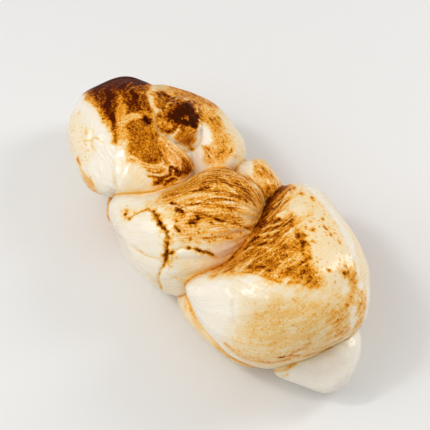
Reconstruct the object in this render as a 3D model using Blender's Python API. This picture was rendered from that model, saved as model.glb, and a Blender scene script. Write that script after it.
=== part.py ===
"""Braided smoked cheese: a short, fat rope of stretched curd twisted on itself and smoked brown.

The rope runs along X, from the looped head at -X to its cut end, the foot, at +X, and lies on
the plane z = 0. Every fold of the rope is a stack of elliptical slices; the folds are fused into
one closed solid whose creases are where the folds press on each other.
"""
import bmesh
import bpy
import numpy as np
from mathutils import Vector

MM = 0.001

# Fusing and facing of the solid
FUSE_CELL = 1.2 * MM        # cell size in which the folds are fused
EASE_ROUNDS = 5             # rounds of smoothing that soften the fused creases
TRIANGLES = 7600            # facets of the finished solid
SAG = 1.8 * MM              # how far the lowest folds have sagged flat on the plane they lie on
TIDY = 0.02 * MM            # points closer together than this count as one
FOLD_SLICES = 40            # slices along one fold
SLICE_POINTS = 48           # points round one slice

# Directions that the folds' slices are drawn in. FACE also points at the camera of scene.py and
# LEVEL to its right, so the visible folds are laid out square to that one view
FACE = Vector((0.41, -0.33, 0.85)).normalized()      # out of the folds' broad faces, to the camera
LEVEL = Vector((0.63, 0.78, 0.0)).normalized()       # level, square to FACE
SLANT = Vector((0.90, 0.01, -0.43)).normalized()     # along the braid and down, for the middle fold
RISE = Vector((-0.10, 0.91, 0.40)).normalized()      # across the braid and up
DIAGONAL = Vector((0.91, -0.41, 0.0)).normalized()   # the lie of the folds under the braid
ALONG = Vector((1.0, 0.0, 0.0))
ASIDE = Vector((0.0, 1.0, 0.0))
UP = Vector((0.0, 0.0, 1.0))

# One fold: width direction, depth direction, length of each rounded end, and its slices as
# (x, y, z of the middle, half width, half depth), all in mm. The slices of the nine folds from
# head_loop to peep_mid weren't worked out here: helper scripts turned places laid out square to
# FACE into x, y, z. Of those 60 slices 36 are their output unchanged and 24 are it changed by
# up to 2 mm. The far and under folds were written by hand
FOLDS = {
    # the loop at the head, the biggest part of which faces up and out
    "head_loop": (LEVEL, FACE, (7, 5), [
        (-79.7, 15.8, 35.8, 9, 12), (-73.7, 12.4, 33, 19.3, 20), (-66.4, 7.5, 30, 24.6, 25),
        (-58.3, 2.6, 27, 26.5, 28), (-50.8, -1, 25, 26, 28), (-42.5, -6.7, 24, 22.4, 25),
        (-36, -12, 22, 16, 19)]),
    # the rope coming back round the far side of the head
    "head_return": (RISE, FACE, (7, 7), [
        (-72, 22, 32, 4, 9), (-63, 22, 31, 8, 15), (-54, 25, 30, 10, 18), (-44, 26, 29, 12, 20),
        (-31, 24, 27, 14, 20), (-24, 24, 28, 12, 18), (-19, 28, 26, 6, 12)]),
    # the tucked-in end of the rope, a knob between the two
    "knob": (LEVEL, FACE, (6, 6), [
        (-54, 24, 43, 6, 7), (-48, 20, 44, 8, 9), (-42, 15, 43, 9, 9), (-37, 10, 40, 6, 7)]),
    # the middle fold, drawn to a pinch at the far side
    "middle": (SLANT, FACE, (6, 6), [
        (-18, -31, 17, 10, 14), (-18, -27, 20, 19, 20), (-15, -22, 24, 24, 24),
        (-8, -12, 28, 22, 26), (-4, -1, 32, 20, 26), (-3, 9, 36, 18, 24),
        (-2, 16, 38, 14, 19), (-1, 22, 40, 6, 11)]),
    # the fat fold at the foot, wide and drawn in at both ends
    "lower": (LEVEL, FACE, (5, 8), [
        (5, 36, 38, 5.6, 12), (11.8, 31.8, 40, 10.4, 17), (17.7, 26.7, 41, 14.6, 20),
        (26.8, 19.8, 41, 20.8, 25),
        (33, 12, 38, 27, 30), (34, 2, 35, 35, 33), (40, -2, 31, 34, 33), (45.8, -6.2, 26, 29.7, 30),
        (49, -12, 21, 20, 25), (52, -18, 16, 10, 15)]),
    # the rope's end, sticking out from under the lower fold
    "foot": (RISE, FACE, (6, 6), [
        (45, -1, 14, 15, 10), (52, 0, 14, 16, 12), (58, 3, 14, 16, 13), (64, 5, 14, 15, 13),
        (69, 5, 13, 12, 12), (75, 3, 11, 5, 9)]),
    # the other strand, seen where it comes up between the folds
    "peep_back": (RISE, FACE, (6, 6), [
        (-18, 24, 33, 6, 9), (-12, 26, 33, 8.4, 12), (-6, 26, 32, 8.6, 13), (0, 25, 31, 9, 13),
        (5, 24, 28, 7, 11), (9, 23, 25, 4, 8)]),
    "peep_low": (RISE, FACE, (6, 6), [
        (-8, -14, 9, 5, 7), (0, -15, 12, 8, 9), (11, -19, 16, 9.5, 14), (23, -19, 17, 10, 14),
        (31, -18, 17, 10, 14), (38, -16, 15, 10, 13), (44, -14, 15, 9, 12), (50, -11, 15, 6, 9)]),
    "peep_mid": (LEVEL, FACE, (6, 6), [
        (-49, -12, 14, 5, 9), (-44, -14, 12, 7, 10), (-38, -16, 10, 9, 9), (-33, -20, 10, 5, 8)]),
    # the strands going down the far side
    "far_mid": (ALONG, ASIDE, (8, 8), [
        (-26, 15, 31, 9, 9), (-28, 17, 25, 12, 13), (-30, 18, 17, 15, 15), (-34, 12, 7, 15, 13)]),
    "far_back": (ALONG, ASIDE, (8, 8), [
        (-9, 20, 35, 10, 10), (-6, 22, 28, 14, 13), (-1, 21, 16, 16, 15), (4, 14, 6, 14, 13)]),
    "far_low": (ALONG, ASIDE, (9, 8), [
        (22, 25, 30, 14, 10), (26, 24, 18, 18, 14), (32, 16, 7, 18, 15)]),
    # the strands crossing underneath
    "under_head": (DIAGONAL, UP, (10, 10), [
        (-64, -10, 16, 14, 12), (-54, 0, 14, 17, 13), (-44, 12, 15, 16, 13)]),
    "under_middle": (DIAGONAL, UP, (10, 10), [
        (-32, -16, 15, 14, 12), (-20, -4, 14, 18, 14), (-10, 10, 15, 16, 13)]),
    "under_foot": (DIAGONAL, UP, (10, 10), [
        (2, -12, 16, 14, 13), (14, 2, 15, 18, 15), (26, 14, 16, 16, 14)]),
}

# Average of the smoked skin
SKIN_COLOUR = (0.72, 0.50, 0.24, 1.0)
SKIN_ROUGHNESS = 0.42


def through_slices(slices, where):
    """Smooth curve through the slices' five numbers, at places counted in slices."""
    rows = np.array(slices, float)
    ends = np.vstack([2 * rows[0] - rows[1], rows, 2 * rows[-1] - rows[-2]])
    first = np.clip(np.floor(where).astype(int), 0, len(rows) - 2)
    part = (where - first)[:, None]
    a, b, c, d = (ends[first + i] for i in range(4))
    bend = 2 * a - 5 * b + 4 * c - d
    twist = 3 * b - a - 3 * c + d
    return 0.5 * (2 * b + (c - a) * part + bend * part**2 + twist * part**3)


def fold_rings(width_way, depth_way, caps, slices):
    """Rings of points along one fold, closing to a rounded tip at both ends."""
    where = np.linspace(0, len(slices) - 1, 400)
    middle = through_slices(slices, where)[:, :3]
    steps = np.linalg.norm(np.diff(middle, axis=0), axis=1)
    run = np.concatenate([[0.0], np.cumsum(steps)])
    length = run[-1]
    along = length * 0.5 * (1 - np.cos(np.linspace(0, np.pi, FOLD_SLICES)))
    rows = through_slices(slices, np.interp(along, run, where))
    ease = np.ones(FOLD_SLICES)
    for cap, reach in zip(caps, (along, length - along)):
        ease *= np.sqrt(1 - (1 - np.clip(reach / cap, 0, 1)) ** 2)
    angle = np.linspace(0, 2 * np.pi, SLICE_POINTS, endpoint=False)
    wide = np.outer(rows[:, 3] * ease, np.cos(angle))[:, :, None] * np.array(width_way)
    deep = np.outer(rows[:, 4] * ease, np.sin(angle))[:, :, None] * np.array(depth_way)
    return (rows[:, None, :3] + wide + deep) * MM


def add_fold(mesh, rings):
    """One fold as a closed skin: quads between the rings and a fan at each tip."""
    first_tip = mesh.verts.new(rings[0].mean(axis=0))
    last_tip = mesh.verts.new(rings[-1].mean(axis=0))
    loops = [[mesh.verts.new(point) for point in ring] for ring in rings[1:-1]]
    for ring, following in zip(loops, loops[1:]):
        for i in range(SLICE_POINTS):
            j = (i + 1) % SLICE_POINTS
            mesh.faces.new((ring[i], ring[j], following[j], following[i]))
    for i in range(SLICE_POINTS):
        j = (i + 1) % SLICE_POINTS
        mesh.faces.new((first_tip, loops[0][j], loops[0][i]))
        mesh.faces.new((last_tip, loops[-1][i], loops[-1][j]))


def all_folds():
    """Every fold in one mesh, still running through each other."""
    mesh = bmesh.new()
    for width_way, depth_way, caps, slices in FOLDS.values():
        add_fold(mesh, fold_rings(width_way, depth_way, caps, slices))
    bmesh.ops.recalc_face_normals(mesh, faces=mesh.faces)
    data = bpy.data.meshes.new("folds")
    mesh.to_mesh(data)
    mesh.free()
    return data


def settle(obj):
    """Replace an object's mesh by what its modifiers make of it."""
    graph = bpy.context.evaluated_depsgraph_get()
    made = bpy.data.meshes.new_from_object(obj.evaluated_get(graph))
    obj.modifiers.clear()
    obj.data = made


def fuse(obj):
    """One skin round all the folds, with softened creases."""
    remesh = obj.modifiers.new("fuse", "REMESH")
    remesh.mode = "VOXEL"
    remesh.voxel_size = FUSE_CELL
    ease = obj.modifiers.new("ease", "SMOOTH")
    ease.factor = 0.5
    ease.iterations = EASE_ROUNDS
    settle(obj)


def facet(obj):
    """Bring the skin down to the wanted number of facets."""
    obj.data.calc_loop_triangles()
    thin = obj.modifiers.new("facets", "DECIMATE")
    thin.ratio = TRIANGLES / len(obj.data.loop_triangles)
    thin.use_collapse_triangulate = True
    settle(obj)


def lay_down(obj):
    """Cut the sagged underside flat at z = 0 and centre the braid over the origin."""
    mesh = bmesh.new()
    mesh.from_mesh(obj.data)
    lowest = min(v.co.z for v in mesh.verts) + SAG
    bmesh.ops.translate(mesh, verts=mesh.verts, vec=(0, 0, -lowest))
    cut = bmesh.ops.bisect_plane(
        mesh, geom=mesh.verts[:] + mesh.edges[:] + mesh.faces[:], dist=TIDY,
        plane_co=(0, 0, 0), plane_no=(0, 0, 1), clear_inner=True)
    rims = [e for e in cut["geom_cut"] if isinstance(e, bmesh.types.BMEdge)]
    bmesh.ops.holes_fill(mesh, edges=rims)
    bmesh.ops.dissolve_degenerate(mesh, dist=TIDY, edges=mesh.edges)
    bmesh.ops.triangulate(mesh, faces=mesh.faces)
    for vert in mesh.verts:
        if vert.co.z < TIDY:
            vert.co.z = 0.0
    bmesh.ops.recalc_face_normals(mesh, faces=mesh.faces)
    xs = [v.co.x for v in mesh.verts]
    ys = [v.co.y for v in mesh.verts]
    middle = ((min(xs) + max(xs)) / 2, (min(ys) + max(ys)) / 2)
    bmesh.ops.translate(mesh, verts=mesh.verts, vec=(-middle[0], -middle[1], 0))
    mesh.to_mesh(obj.data)
    mesh.free()


def skin():
    """Smoked, slightly glossy skin of the cheese."""
    material = bpy.data.materials.new("smoked_cheese")
    material.use_nodes = True
    shader = material.node_tree.nodes["Principled BSDF"]
    shader.inputs["Base Color"].default_value = SKIN_COLOUR
    shader.inputs["Roughness"].default_value = SKIN_ROUGHNESS
    shader.inputs["Metallic"].default_value = 0.0
    return material


def build():
    for old in list(bpy.data.objects):
        bpy.data.objects.remove(old)
    braid = bpy.data.objects.new("braid", all_folds())
    bpy.context.scene.collection.objects.link(braid)
    fuse(braid)
    facet(braid)
    lay_down(braid)
    braid.data.name = "braid"
    braid.data.materials.clear()
    braid.data.materials.append(skin())
    braid.data.shade_smooth()


build()
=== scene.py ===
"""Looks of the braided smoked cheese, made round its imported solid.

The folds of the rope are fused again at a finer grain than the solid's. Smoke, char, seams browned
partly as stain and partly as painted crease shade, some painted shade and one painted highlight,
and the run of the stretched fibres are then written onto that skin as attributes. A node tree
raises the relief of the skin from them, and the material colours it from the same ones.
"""
import math

import bmesh
import bpy
import numpy as np
from bpy.props import FloatProperty, FloatVectorProperty, IntProperty, PointerProperty
from mathutils import Matrix, Vector, noise
from mathutils.bvhtree import BVHTree


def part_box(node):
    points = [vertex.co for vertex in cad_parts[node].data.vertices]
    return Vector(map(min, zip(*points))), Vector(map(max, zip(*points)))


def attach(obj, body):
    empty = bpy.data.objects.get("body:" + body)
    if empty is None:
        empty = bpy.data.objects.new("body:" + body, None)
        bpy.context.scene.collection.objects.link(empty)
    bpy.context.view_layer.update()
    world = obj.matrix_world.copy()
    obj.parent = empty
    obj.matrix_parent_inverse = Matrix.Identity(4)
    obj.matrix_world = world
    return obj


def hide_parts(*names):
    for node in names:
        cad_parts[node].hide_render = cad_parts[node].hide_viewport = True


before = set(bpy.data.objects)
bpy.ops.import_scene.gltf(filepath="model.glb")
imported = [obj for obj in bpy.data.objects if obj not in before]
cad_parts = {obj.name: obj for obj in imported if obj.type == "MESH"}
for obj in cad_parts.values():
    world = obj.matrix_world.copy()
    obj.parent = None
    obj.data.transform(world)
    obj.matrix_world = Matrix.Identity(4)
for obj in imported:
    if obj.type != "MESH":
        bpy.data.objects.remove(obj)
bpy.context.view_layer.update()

bl_info = {
    "name": "Braided Smoked Cheese",
    "version": (1, 0, 0),
    "blender": (4, 5, 0),
    "location": "View3D > Sidebar > Cheese",
    "description": "Skin, smoke and stage of a braided smoked cheese",
    "category": "Object",
}

MM = 0.001

# Directions that the folds' slices are drawn in, as in the solid. FACE also points at the camera
# and LEVEL to its right, so the visible folds are laid out square to that one view
FACE = Vector((0.41, -0.33, 0.85)).normalized()      # out of the folds' broad faces, to the camera
LEVEL = Vector((0.63, 0.78, 0.0)).normalized()       # level, square to FACE
UPHILL = FACE.cross(LEVEL)                           # up the broad faces
SLANT = Vector((0.90, 0.01, -0.43)).normalized()
RISE = Vector((-0.10, 0.91, 0.40)).normalized()
DIAGONAL = Vector((0.91, -0.41, 0.0)).normalized()
ALONG = Vector((1.0, 0.0, 0.0))
ASIDE = Vector((0.0, 1.0, 0.0))
UP = Vector((0.0, 0.0, 1.0))

# One fold, as in the solid: width direction, depth direction, length of each rounded end, and its
# slices as (x, y, z of the middle, half width, half depth), all in mm. The slices of the nine
# folds from head_loop to peep_mid weren't worked out here: helper scripts turned places laid out
# square to FACE into x, y, z. Of those 60 slices 36 are that output unchanged, and the other 24
# lie within 2 mm of it. The far and under folds were written one by one
FOLDS = {
    "head_loop": (LEVEL, FACE, (7, 5), [
        (-79.7, 15.8, 35.8, 9, 12), (-73.7, 12.4, 33, 19.3, 20), (-66.4, 7.5, 30, 24.6, 25),
        (-58.3, 2.6, 27, 26.5, 28), (-50.8, -1, 25, 26, 28), (-42.5, -6.7, 24, 22.4, 25),
        (-36, -12, 22, 16, 19)]),
    "head_return": (RISE, FACE, (7, 7), [
        (-72, 22, 32, 4, 9), (-63, 22, 31, 8, 15), (-54, 25, 30, 10, 18), (-44, 26, 29, 12, 20),
        (-31, 24, 27, 14, 20), (-24, 24, 28, 12, 18), (-19, 28, 26, 6, 12)]),
    "knob": (LEVEL, FACE, (6, 6), [
        (-54, 24, 43, 6, 7), (-48, 20, 44, 8, 9), (-42, 15, 43, 9, 9), (-37, 10, 40, 6, 7)]),
    "middle": (SLANT, FACE, (6, 6), [
        (-18, -31, 17, 10, 14), (-18, -27, 20, 19, 20), (-15, -22, 24, 24, 24),
        (-8, -12, 28, 22, 26), (-4, -1, 32, 20, 26), (-3, 9, 36, 18, 24),
        (-2, 16, 38, 14, 19), (-1, 22, 40, 6, 11)]),
    "lower": (LEVEL, FACE, (5, 8), [
        (5, 36, 38, 5.6, 12), (11.8, 31.8, 40, 10.4, 17), (17.7, 26.7, 41, 14.6, 20),
        (26.8, 19.8, 41, 20.8, 25),
        (33, 12, 38, 27, 30), (34, 2, 35, 35, 33), (40, -2, 31, 34, 33), (45.8, -6.2, 26, 29.7, 30),
        (49, -12, 21, 20, 25), (52, -18, 16, 10, 15)]),
    "foot": (RISE, FACE, (6, 6), [
        (45, -1, 14, 15, 10), (52, 0, 14, 16, 12), (58, 3, 14, 16, 13), (64, 5, 14, 15, 13),
        (69, 5, 13, 12, 12), (75, 3, 11, 5, 9)]),
    "peep_back": (RISE, FACE, (6, 6), [
        (-18, 24, 33, 6, 9), (-12, 26, 33, 8.4, 12), (-6, 26, 32, 8.6, 13), (0, 25, 31, 9, 13),
        (5, 24, 28, 7, 11), (9, 23, 25, 4, 8)]),
    "peep_low": (RISE, FACE, (6, 6), [
        (-8, -14, 9, 5, 7), (0, -15, 12, 8, 9), (11, -19, 16, 9.5, 14), (23, -19, 17, 10, 14),
        (31, -18, 17, 10, 14), (38, -16, 15, 10, 13), (44, -14, 15, 9, 12), (50, -11, 15, 6, 9)]),
    "peep_mid": (LEVEL, FACE, (6, 6), [
        (-49, -12, 14, 5, 9), (-44, -14, 12, 7, 10), (-38, -16, 10, 9, 9), (-33, -20, 10, 5, 8)]),
    "far_mid": (ALONG, ASIDE, (8, 8), [
        (-26, 15, 31, 9, 9), (-28, 17, 25, 12, 13), (-30, 18, 17, 15, 15), (-34, 12, 7, 15, 13)]),
    "far_back": (ALONG, ASIDE, (8, 8), [
        (-9, 20, 35, 10, 10), (-6, 22, 28, 14, 13), (-1, 21, 16, 16, 15), (4, 14, 6, 14, 13)]),
    "far_low": (ALONG, ASIDE, (9, 8), [
        (22, 25, 30, 14, 10), (26, 24, 18, 18, 14), (32, 16, 7, 18, 15)]),
    "under_head": (DIAGONAL, UP, (10, 10), [
        (-64, -10, 16, 14, 12), (-54, 0, 14, 17, 13), (-44, 12, 15, 16, 13)]),
    "under_middle": (DIAGONAL, UP, (10, 10), [
        (-32, -16, 15, 14, 12), (-20, -4, 14, 18, 14), (-10, 10, 15, 16, 13)]),
    "under_foot": (DIAGONAL, UP, (10, 10), [
        (2, -12, 16, 14, 13), (14, 2, 15, 18, 15), (26, 14, 16, 16, 14)]),
}
FOLD_SLICES = 40
SLICE_POINTS = 48
SAG = 1.8                   # mm that the lowest folds have sagged flat
LENGTH_STEPS = 400          # steps in which the length of a fold is measured
CURVE_STEPS = 5             # straight pieces of a curve for each of its places
FAR_OFF = 99.0              # mm, more than any distance that counts

# Folds that were browned alike, and how brown each lot is where nothing else is said:
# 0 is ivory curd, 0.5 golden, 1 nearly black
GROUPS = {
    "head": (0.05, ("head_loop", "head_return", "knob")),
    "middle": (0.07, ("middle",)),
    "lower": (0.05, ("lower",)),
    "foot": (0.03, ("foot",)),
    "back": (0.29, ("peep_back",)),
    "left": (0.36, ("peep_mid",)),
    "sliver": (0.17, ("peep_low",)),
    "far": (0.30, ("far_mid", "far_back", "far_low")),
    "under": (0.12, ("under_head", "under_middle", "under_foot")),
}

# Where the fibres of a fold are drawn together, at its two ends, in mm
GATHERS = {
    "head_loop": ((-70, 19, 37), (-38, -23, 34)),
    "head_return": ((-73, 22, 36), (-14, 20, 36)),
    "middle": ((12, 12, 43), (-24, -33, 34)),
    "lower": ((12, 5, 33), (10, 45, 34)),
    "peep_back": ((-22, 24, 34), (12, 14, 34)),
}

# Smoked areas of the skin, and among them some painted shade and one painted highlight: lot of
# folds, brownness, share of dark flecks, width of the soft edge, and the outline. Places on the broad
# faces are (along LEVEL, along UPHILL) in mm from the origin.
# These places and those of the tables below were set square to the camera's view
SMOKED_AND_PAINTED_LIGHT = {
    # Tan towards the head's left edge: painted shade, with real dark flecks in it
    "head, tan and painted shade at left": ("head", 0.13, 0.6, 2.5, [
        (-60, 60), (-54, 57), (-50, 50), (-49, 43), (-52, 36), (-58, 36), (-62, 48)]),
    # Cream on the head's lower right: painted shade
    "head, painted shade low right": ("head", 0.19, 0.1, 5.0, [
        (-39, 49), (-36, 48), (-35, 39), (-29, 33), (-26, 30), (-24, 26), (-32, 26), (-36, 32),
        (-38, 40)]),
    "head, tan under": ("head", 0.36, 0.2, 1.2, [
        (-54.5, 34.6), (-52.6, 34), (-50, 31), (-47.8, 27.5), (-45, 23), (-48, 22), (-53, 28)]),
    "head, cap": ("head", 0.84, 0.2, 1.2, [
        (-56, 67), (-51.5, 65), (-49.6, 62.3), (-48, 60.3), (-46, 58), (-44.5, 55.8),
        (-43, 53.8), (-41.5, 51.2), (-41, 49.5), (-39.8, 48), (-39.3, 45), (-38.6, 47.5),
        (-38, 50), (-38, 53), (-36.5, 54.3), (-34, 55.6), (-30, 55.7), (-27, 55.2), (-25.6, 54),
        (-25, 57), (-26, 60), (-27.3, 62.5), (-27, 66), (-26, 72), (-33, 80), (-48, 80)]),
    "head, between": ("head", 0.42, 0.2, 1.0, [
        (-40, 57), (-37, 56.5), (-33, 57), (-28, 57), (-25, 56), (-26, 52), (-34, 50), (-35.5, 45),
        (-37.5, 43.5), (-38.5, 48)]),
    "cap, crown": ("head", 0.93, 0.0, 2.0, [
        (-51, 68), (-47, 64.5), (-44.5, 58), (-42, 57.5), (-40.8, 60), (-40.6, 63.5),
        (-38.5, 66), (-35, 67), (-32, 66.5), (-29, 68.5), (-33, 80), (-48, 80)]),
    "cap, inner": ("head", 0.86, 0.1, 1.4, [
        (-36.5, 65), (-34.5, 60), (-31.5, 59), (-30.2, 62), (-32, 66)]),
    "cap, orange edge": ("head", 0.55, 0.6, 0.8, [
        (-53, 65.5), (-50, 64), (-48.5, 61.8), (-46, 59), (-44.6, 56), (-43, 53.8), (-41.8, 51.4),
        (-42.8, 51), (-44.6, 54), (-46.5, 57.5), (-49.5, 60.5), (-52.5, 63)]),
    "cap, light": ("head", 0.50, 0.2, 0.8, [
        (-39.3, 57.5), (-39.5, 60), (-39.2, 63), (-38.5, 65.4), (-37.8, 63.3), (-36.3, 61.3),
        (-35.4, 59.3), (-36, 57), (-37, 55), (-38.4, 55)]),
    "cap, back": ("head", 0.74, 0.3, 1.2, [
        (-31, 60.5), (-30.5, 64), (-33, 67), (-30, 69.5), (-27, 68), (-27.5, 63), (-28.5, 61)]),
    "head, return": ("head", 0.26, 0.45, 2.2, [
        (-24, 58), (-26, 66), (-22, 78), (0, 74), (20, 50), (20, 42), (12, 39), (4, 37), (1, 35),
        (-2, 37), (-5, 40), (-6, 47), (-5, 54), (-12, 62)]),
    "return, edge": ("head", 0.16, 0.3, 1.8, [
        (2.5, 58), (3, 54), (4.5, 49.5), (7.5, 44), (9, 38), (13, 35), (16, 42), (12, 50),
        (6, 57)]),
    "return, gold band": ("head", 0.54, 0.2, 1.2, [
        (-19, 67.5), (-15, 64.4), (-10, 62), (-7, 60.6), (-3.5, 60), (0, 59.4), (-2, 68), (-18, 76)]),
    "return, gold": ("head", 0.41, 0.5, 1.4, [
        (-9, 59.5), (-5, 59.6), (-1.5, 57.5), (2, 54), (2.6, 49), (-1, 48.4), (-3.5, 51.5),
        (-7, 55.5)]),
    "return, brown upper": ("head", 0.57, 0.6, 1.1, [
        (-2.5, 55.5), (0, 56.2), (1.6, 54.5), (1.4, 51.8), (-0.5, 51), (-2.4, 52.8)]),
    "return, brown left": ("head", 0.54, 0.5, 1.0, [
        (-8.4, 59.2), (-6, 59), (-4.8, 57.4), (-6, 56.2), (-7.6, 57)]),
    "return, brown lower": ("head", 0.41, 0.9, 2.0, [
        (-6, 43.5), (-2, 44), (0.5, 47), (4, 47.5), (6, 45), (5.6, 41), (3, 38), (-1, 36.2),
        (-5, 37.2)]),
    "return, pale spot": ("head", 0.05, 0.0, 0.9, [
        (-7.4, 51), (-4.6, 51.2), (-2.2, 50), (-1.3, 46.5), (-3, 44.5), (-7.2, 45)]),
    "return, pale lip": ("head", 0.11, 0.0, 1.6, [
        (-6.8, 52), (-6, 47), (-6.8, 42), (-5.6, 36.4), (0, 34.5), (6, 36.6), (14, 39), (14, 30),
        (2, 30), (-10, 27), (-9, 34), (-8.3, 44)]),
    "head, net": ("head", 0.64, 0.3, 1.2, [
        (-36, 52), (-35, 46), (-34.5, 41), (-32, 38), (-27.5, 35.5), (-22, 36.5), (-20.5, 40),
        (-22.5, 46), (-22.5, 52), (-25, 55.5), (-30, 55.2), (-34, 54)]),
    "net, fading": ("head", 0.32, 0.1, 1.6, [
        (-36, 44), (-34, 41), (-31, 37.5), (-33, 35.5), (-36, 39), (-37, 44)]),
    "net, dark rim": ("head", 0.69, 0.3, 1.2, [
        (-34, 46), (-34, 42), (-31, 38.8), (-27, 36.5), (-22, 36.8), (-21, 39), (-24, 41),
        (-28, 41), (-31, 44)]),
    "head, arcs": ("head", 0.56, 0.1, 0.9, [
        (-33, 38), (-28, 36.5), (-20, 37), (-18, 33), (-22, 30.7), (-25.5, 31), (-28.5, 34)]),
    "head, strip": ("head", 0.44, 0.4, 0.7, [
        (-22.6, 51), (-21, 49), (-18, 45.8), (-14, 42.8), (-11, 39.8), (-9, 37.2), (-8.3, 34.5),
        (-13, 35), (-18.5, 35.8), (-20.5, 38), (-22.6, 43)]),
    "strip, tip": ("head", 0.70, 0.4, 1.2, [
        (-13, 37.5), (-10.3, 38), (-9.2, 35.6), (-10, 34), (-13, 34.4)]),
    "head, toe": ("head", 0.87, 0.3, 0.8, [
        (-24.7, 27.8), (-23.5, 30), (-22.4, 31), (-20, 32), (-19, 34.7), (-17, 35.2), (-14, 34.6),
        (-11.5, 34.2), (-11, 33.4), (-13.5, 31.6), (-16.5, 30), (-20.5, 28)]),
    "knob, crown": ("head", 0.62, 0.4, 0.8, [
        (-23.7, 56), (-20.5, 59), (-15, 62.3), (-10, 61.5), (-7, 56), (-8, 50.8), (-10, 51),
        (-14, 51.2), (-16.5, 48.7), (-21, 49.7)]),
    "knob, foot": ("head", 0.56, 0.2, 0.9, [
        (-16.5, 47.2), (-15, 49.6), (-12, 50.6), (-9.4, 50.9), (-8.3, 49.5), (-8.8, 45.5),
        (-10.8, 43.4), (-14, 44.8)]),
    "head, brow": ("head", 0.64, 0.5, 0.8, [
        (-25.3, 65.8), (-22, 67), (-18, 65), (-15.5, 62.5), (-18, 60.5), (-20, 58.8),
        (-23, 58.3), (-24.6, 61)]),
    "brow, dark": ("head", 0.88, 0.2, 0.6, [
        (-25.2, 65.4), (-22, 66.3), (-18.5, 64.8), (-16.5, 62.8), (-19.5, 63), (-21, 64),
        (-23.5, 63.7)]),
    "middle, haze": ("middle", 0.32, 0.6, 3.0, [
        (-26, 21), (-19, 17), (-17, 11), (-14, 6), (-8, 5), (0, 6), (8, 5), (13, 6), (18, 13),
        (16, 26), (4, 36), (-12, 29)]),
    # Cream on the lower part of the middle fold, under the edge of the lower fold: painted shade
    "middle, painted shade below": ("middle", 0.17, 0.2, 4.0, [
        (-15, -2), (-4, 0), (6, 2), (10, 5), (6, -5), (-6, -14), (-15, -12)]),
    # More of the same painted shade, further down and to the left on the middle fold
    "middle, painted shade low left": ("middle", 0.16, 0.2, 4.0, [
        (-30, -8), (-24, -8), (-18, -13), (-12, -20), (-16, -26), (-26, -18)]),
    "middle, line": ("middle", 0.19, 0.7, 2.6, [
        (-36, 14), (-32, 15.5), (-27, 17), (-23, 13), (-20.6, 8), (-20.6, 0), (-18, -3),
        (-16.6, 2), (-17, 8), (-20, 15), (-25, 20.5), (-31, 19), (-36.5, 18)]),
    "middle, gold": ("middle", 0.44, 0.35, 2.6, [
        (-23, 23), (-18, 20.5), (-14, 17.5), (-8, 15.5), (-3, 14.5), (5, 12.5), (12, 10),
        (18, 13), (18, 22), (12, 31), (3, 36), (-6, 32), (-16, 27)]),
    "middle, brow": ("middle", 0.51, 0.45, 2.4, [
        (-14, 26.5), (-4, 26), (4, 25.5), (9, 21.5), (14, 15), (18, 17), (15, 24), (10, 29.5),
        (4, 34), (-5, 31), (-12, 28.5)]),
    "middle, right": ("middle", 0.29, 0.3, 2.0, [
        (8, 14), (13, 12), (16.5, 13), (17, 18), (13, 22), (9, 20)]),
    "lower, haze": ("lower", 0.27, 0.3, 4.0, [
        (2, -4), (10, 5), (20, 20), (26, 31), (34, 28), (39, 18), (43, 4), (42, -8), (37, -12),
        (26, -10), (12, -6)]),
    "lower, fan": ("lower", 0.51, 0.4, 2.4, [
        (-2, -6.5), (2, -2), (8, 3), (14, 9), (18, 15), (21, 20), (25, 28.5), (30, 31),
        (31, 27), (27.5, 22), (25, 17.5), (29.5, 17.3), (30.3, 12), (30, 6), (31, 0),
        (34, -3), (38.5, -5), (39, -9), (34, -10), (28, -8.6), (22, -8), (15, -6), (9, -5.2)]),
    "fan, brown": ("lower", 0.56, 0.4, 1.8, [
        (12, 3), (17, 12), (25, 13.5), (29, 15), (28.5, 11), (24, 8), (25, 3), (20, 0)]),
    "fan, brown foot": ("lower", 0.59, 0.5, 2.6, [
        (13, 0), (19, 3), (28, 2.5), (30.5, -2), (37, -4.6), (38, -9), (32, -8.6), (25, -5.4),
        (18, -3.4)]),
    "fan, yellow": ("lower", 0.41, 0.2, 1.0, [
        (25.5, 9.5), (28, 10.5), (29.5, 7), (29, 5), (27, 4.6), (25, 6)]),
    "fan, spots": ("lower", 0.50, 0.9, 1.6, [
        (29.5, 11), (31.5, 12), (33.8, 9), (34.3, 4), (34, -0.5), (32, -0.5), (30.3, 4)]),
    "fan, root": ("lower", 0.70, 0.0, 2.4, [
        (13.5, 6.5), (16, 9), (18.5, 12), (21, 15), (22, 19), (25, 24), (27, 27.5), (25.5, 30),
        (19, 24), (15, 14)]),
    "fan, wedge": ("lower", 0.16, 0.1, 0.9, [
        (22.5, 16), (27, 19), (30, 22), (33.5, 21), (34, 17), (30.5, 15.5), (28, 17.5),
        (24, 15.8)]),
    "lower, shoulder": ("lower", 0.17, 0.6, 3.0, [
        (29, 32), (38, 26), (47, 10), (51, -2), (48, -10), (41, -14), (37, -5), (33, -1),
        (31.5, 6), (31, 12), (34, 16), (34, 21), (30, 23)]),
    "shoulder, gold": ("lower", 0.17, 0.5, 2.0, [
        (39, 14), (43, 10), (46, 4), (45.5, 0), (42, 2), (41, 8)]),
    # Paler strip along the ridge of the shoulder: a painted highlight
    "shoulder, painted highlight": ("lower", 0.07, 0.2, 0.8, [
        (34, 27), (40, 21), (45, 13), (48.5, 5), (50, -2), (51, -2), (49.6, 6), (44.6, 16),
        (36, 28)]),
    # Darker cream beyond the ridge, on the side turned away from it: painted shade
    "shoulder, painted shade outside": ("lower", 0.17, 0.3, 1.2, [
        (38, 27.5), (46, 16), (50.8, 5), (52, -3), (55, -14), (58, -4), (55, 14), (44, 30)]),
    "lower, right": ("lower", 0.36, 0.7, 2.4, [
        (46.5, -0.5), (49.5, -3), (51.5, -7), (52.5, -13), (50.5, -18), (47, -20), (45, -17),
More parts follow.
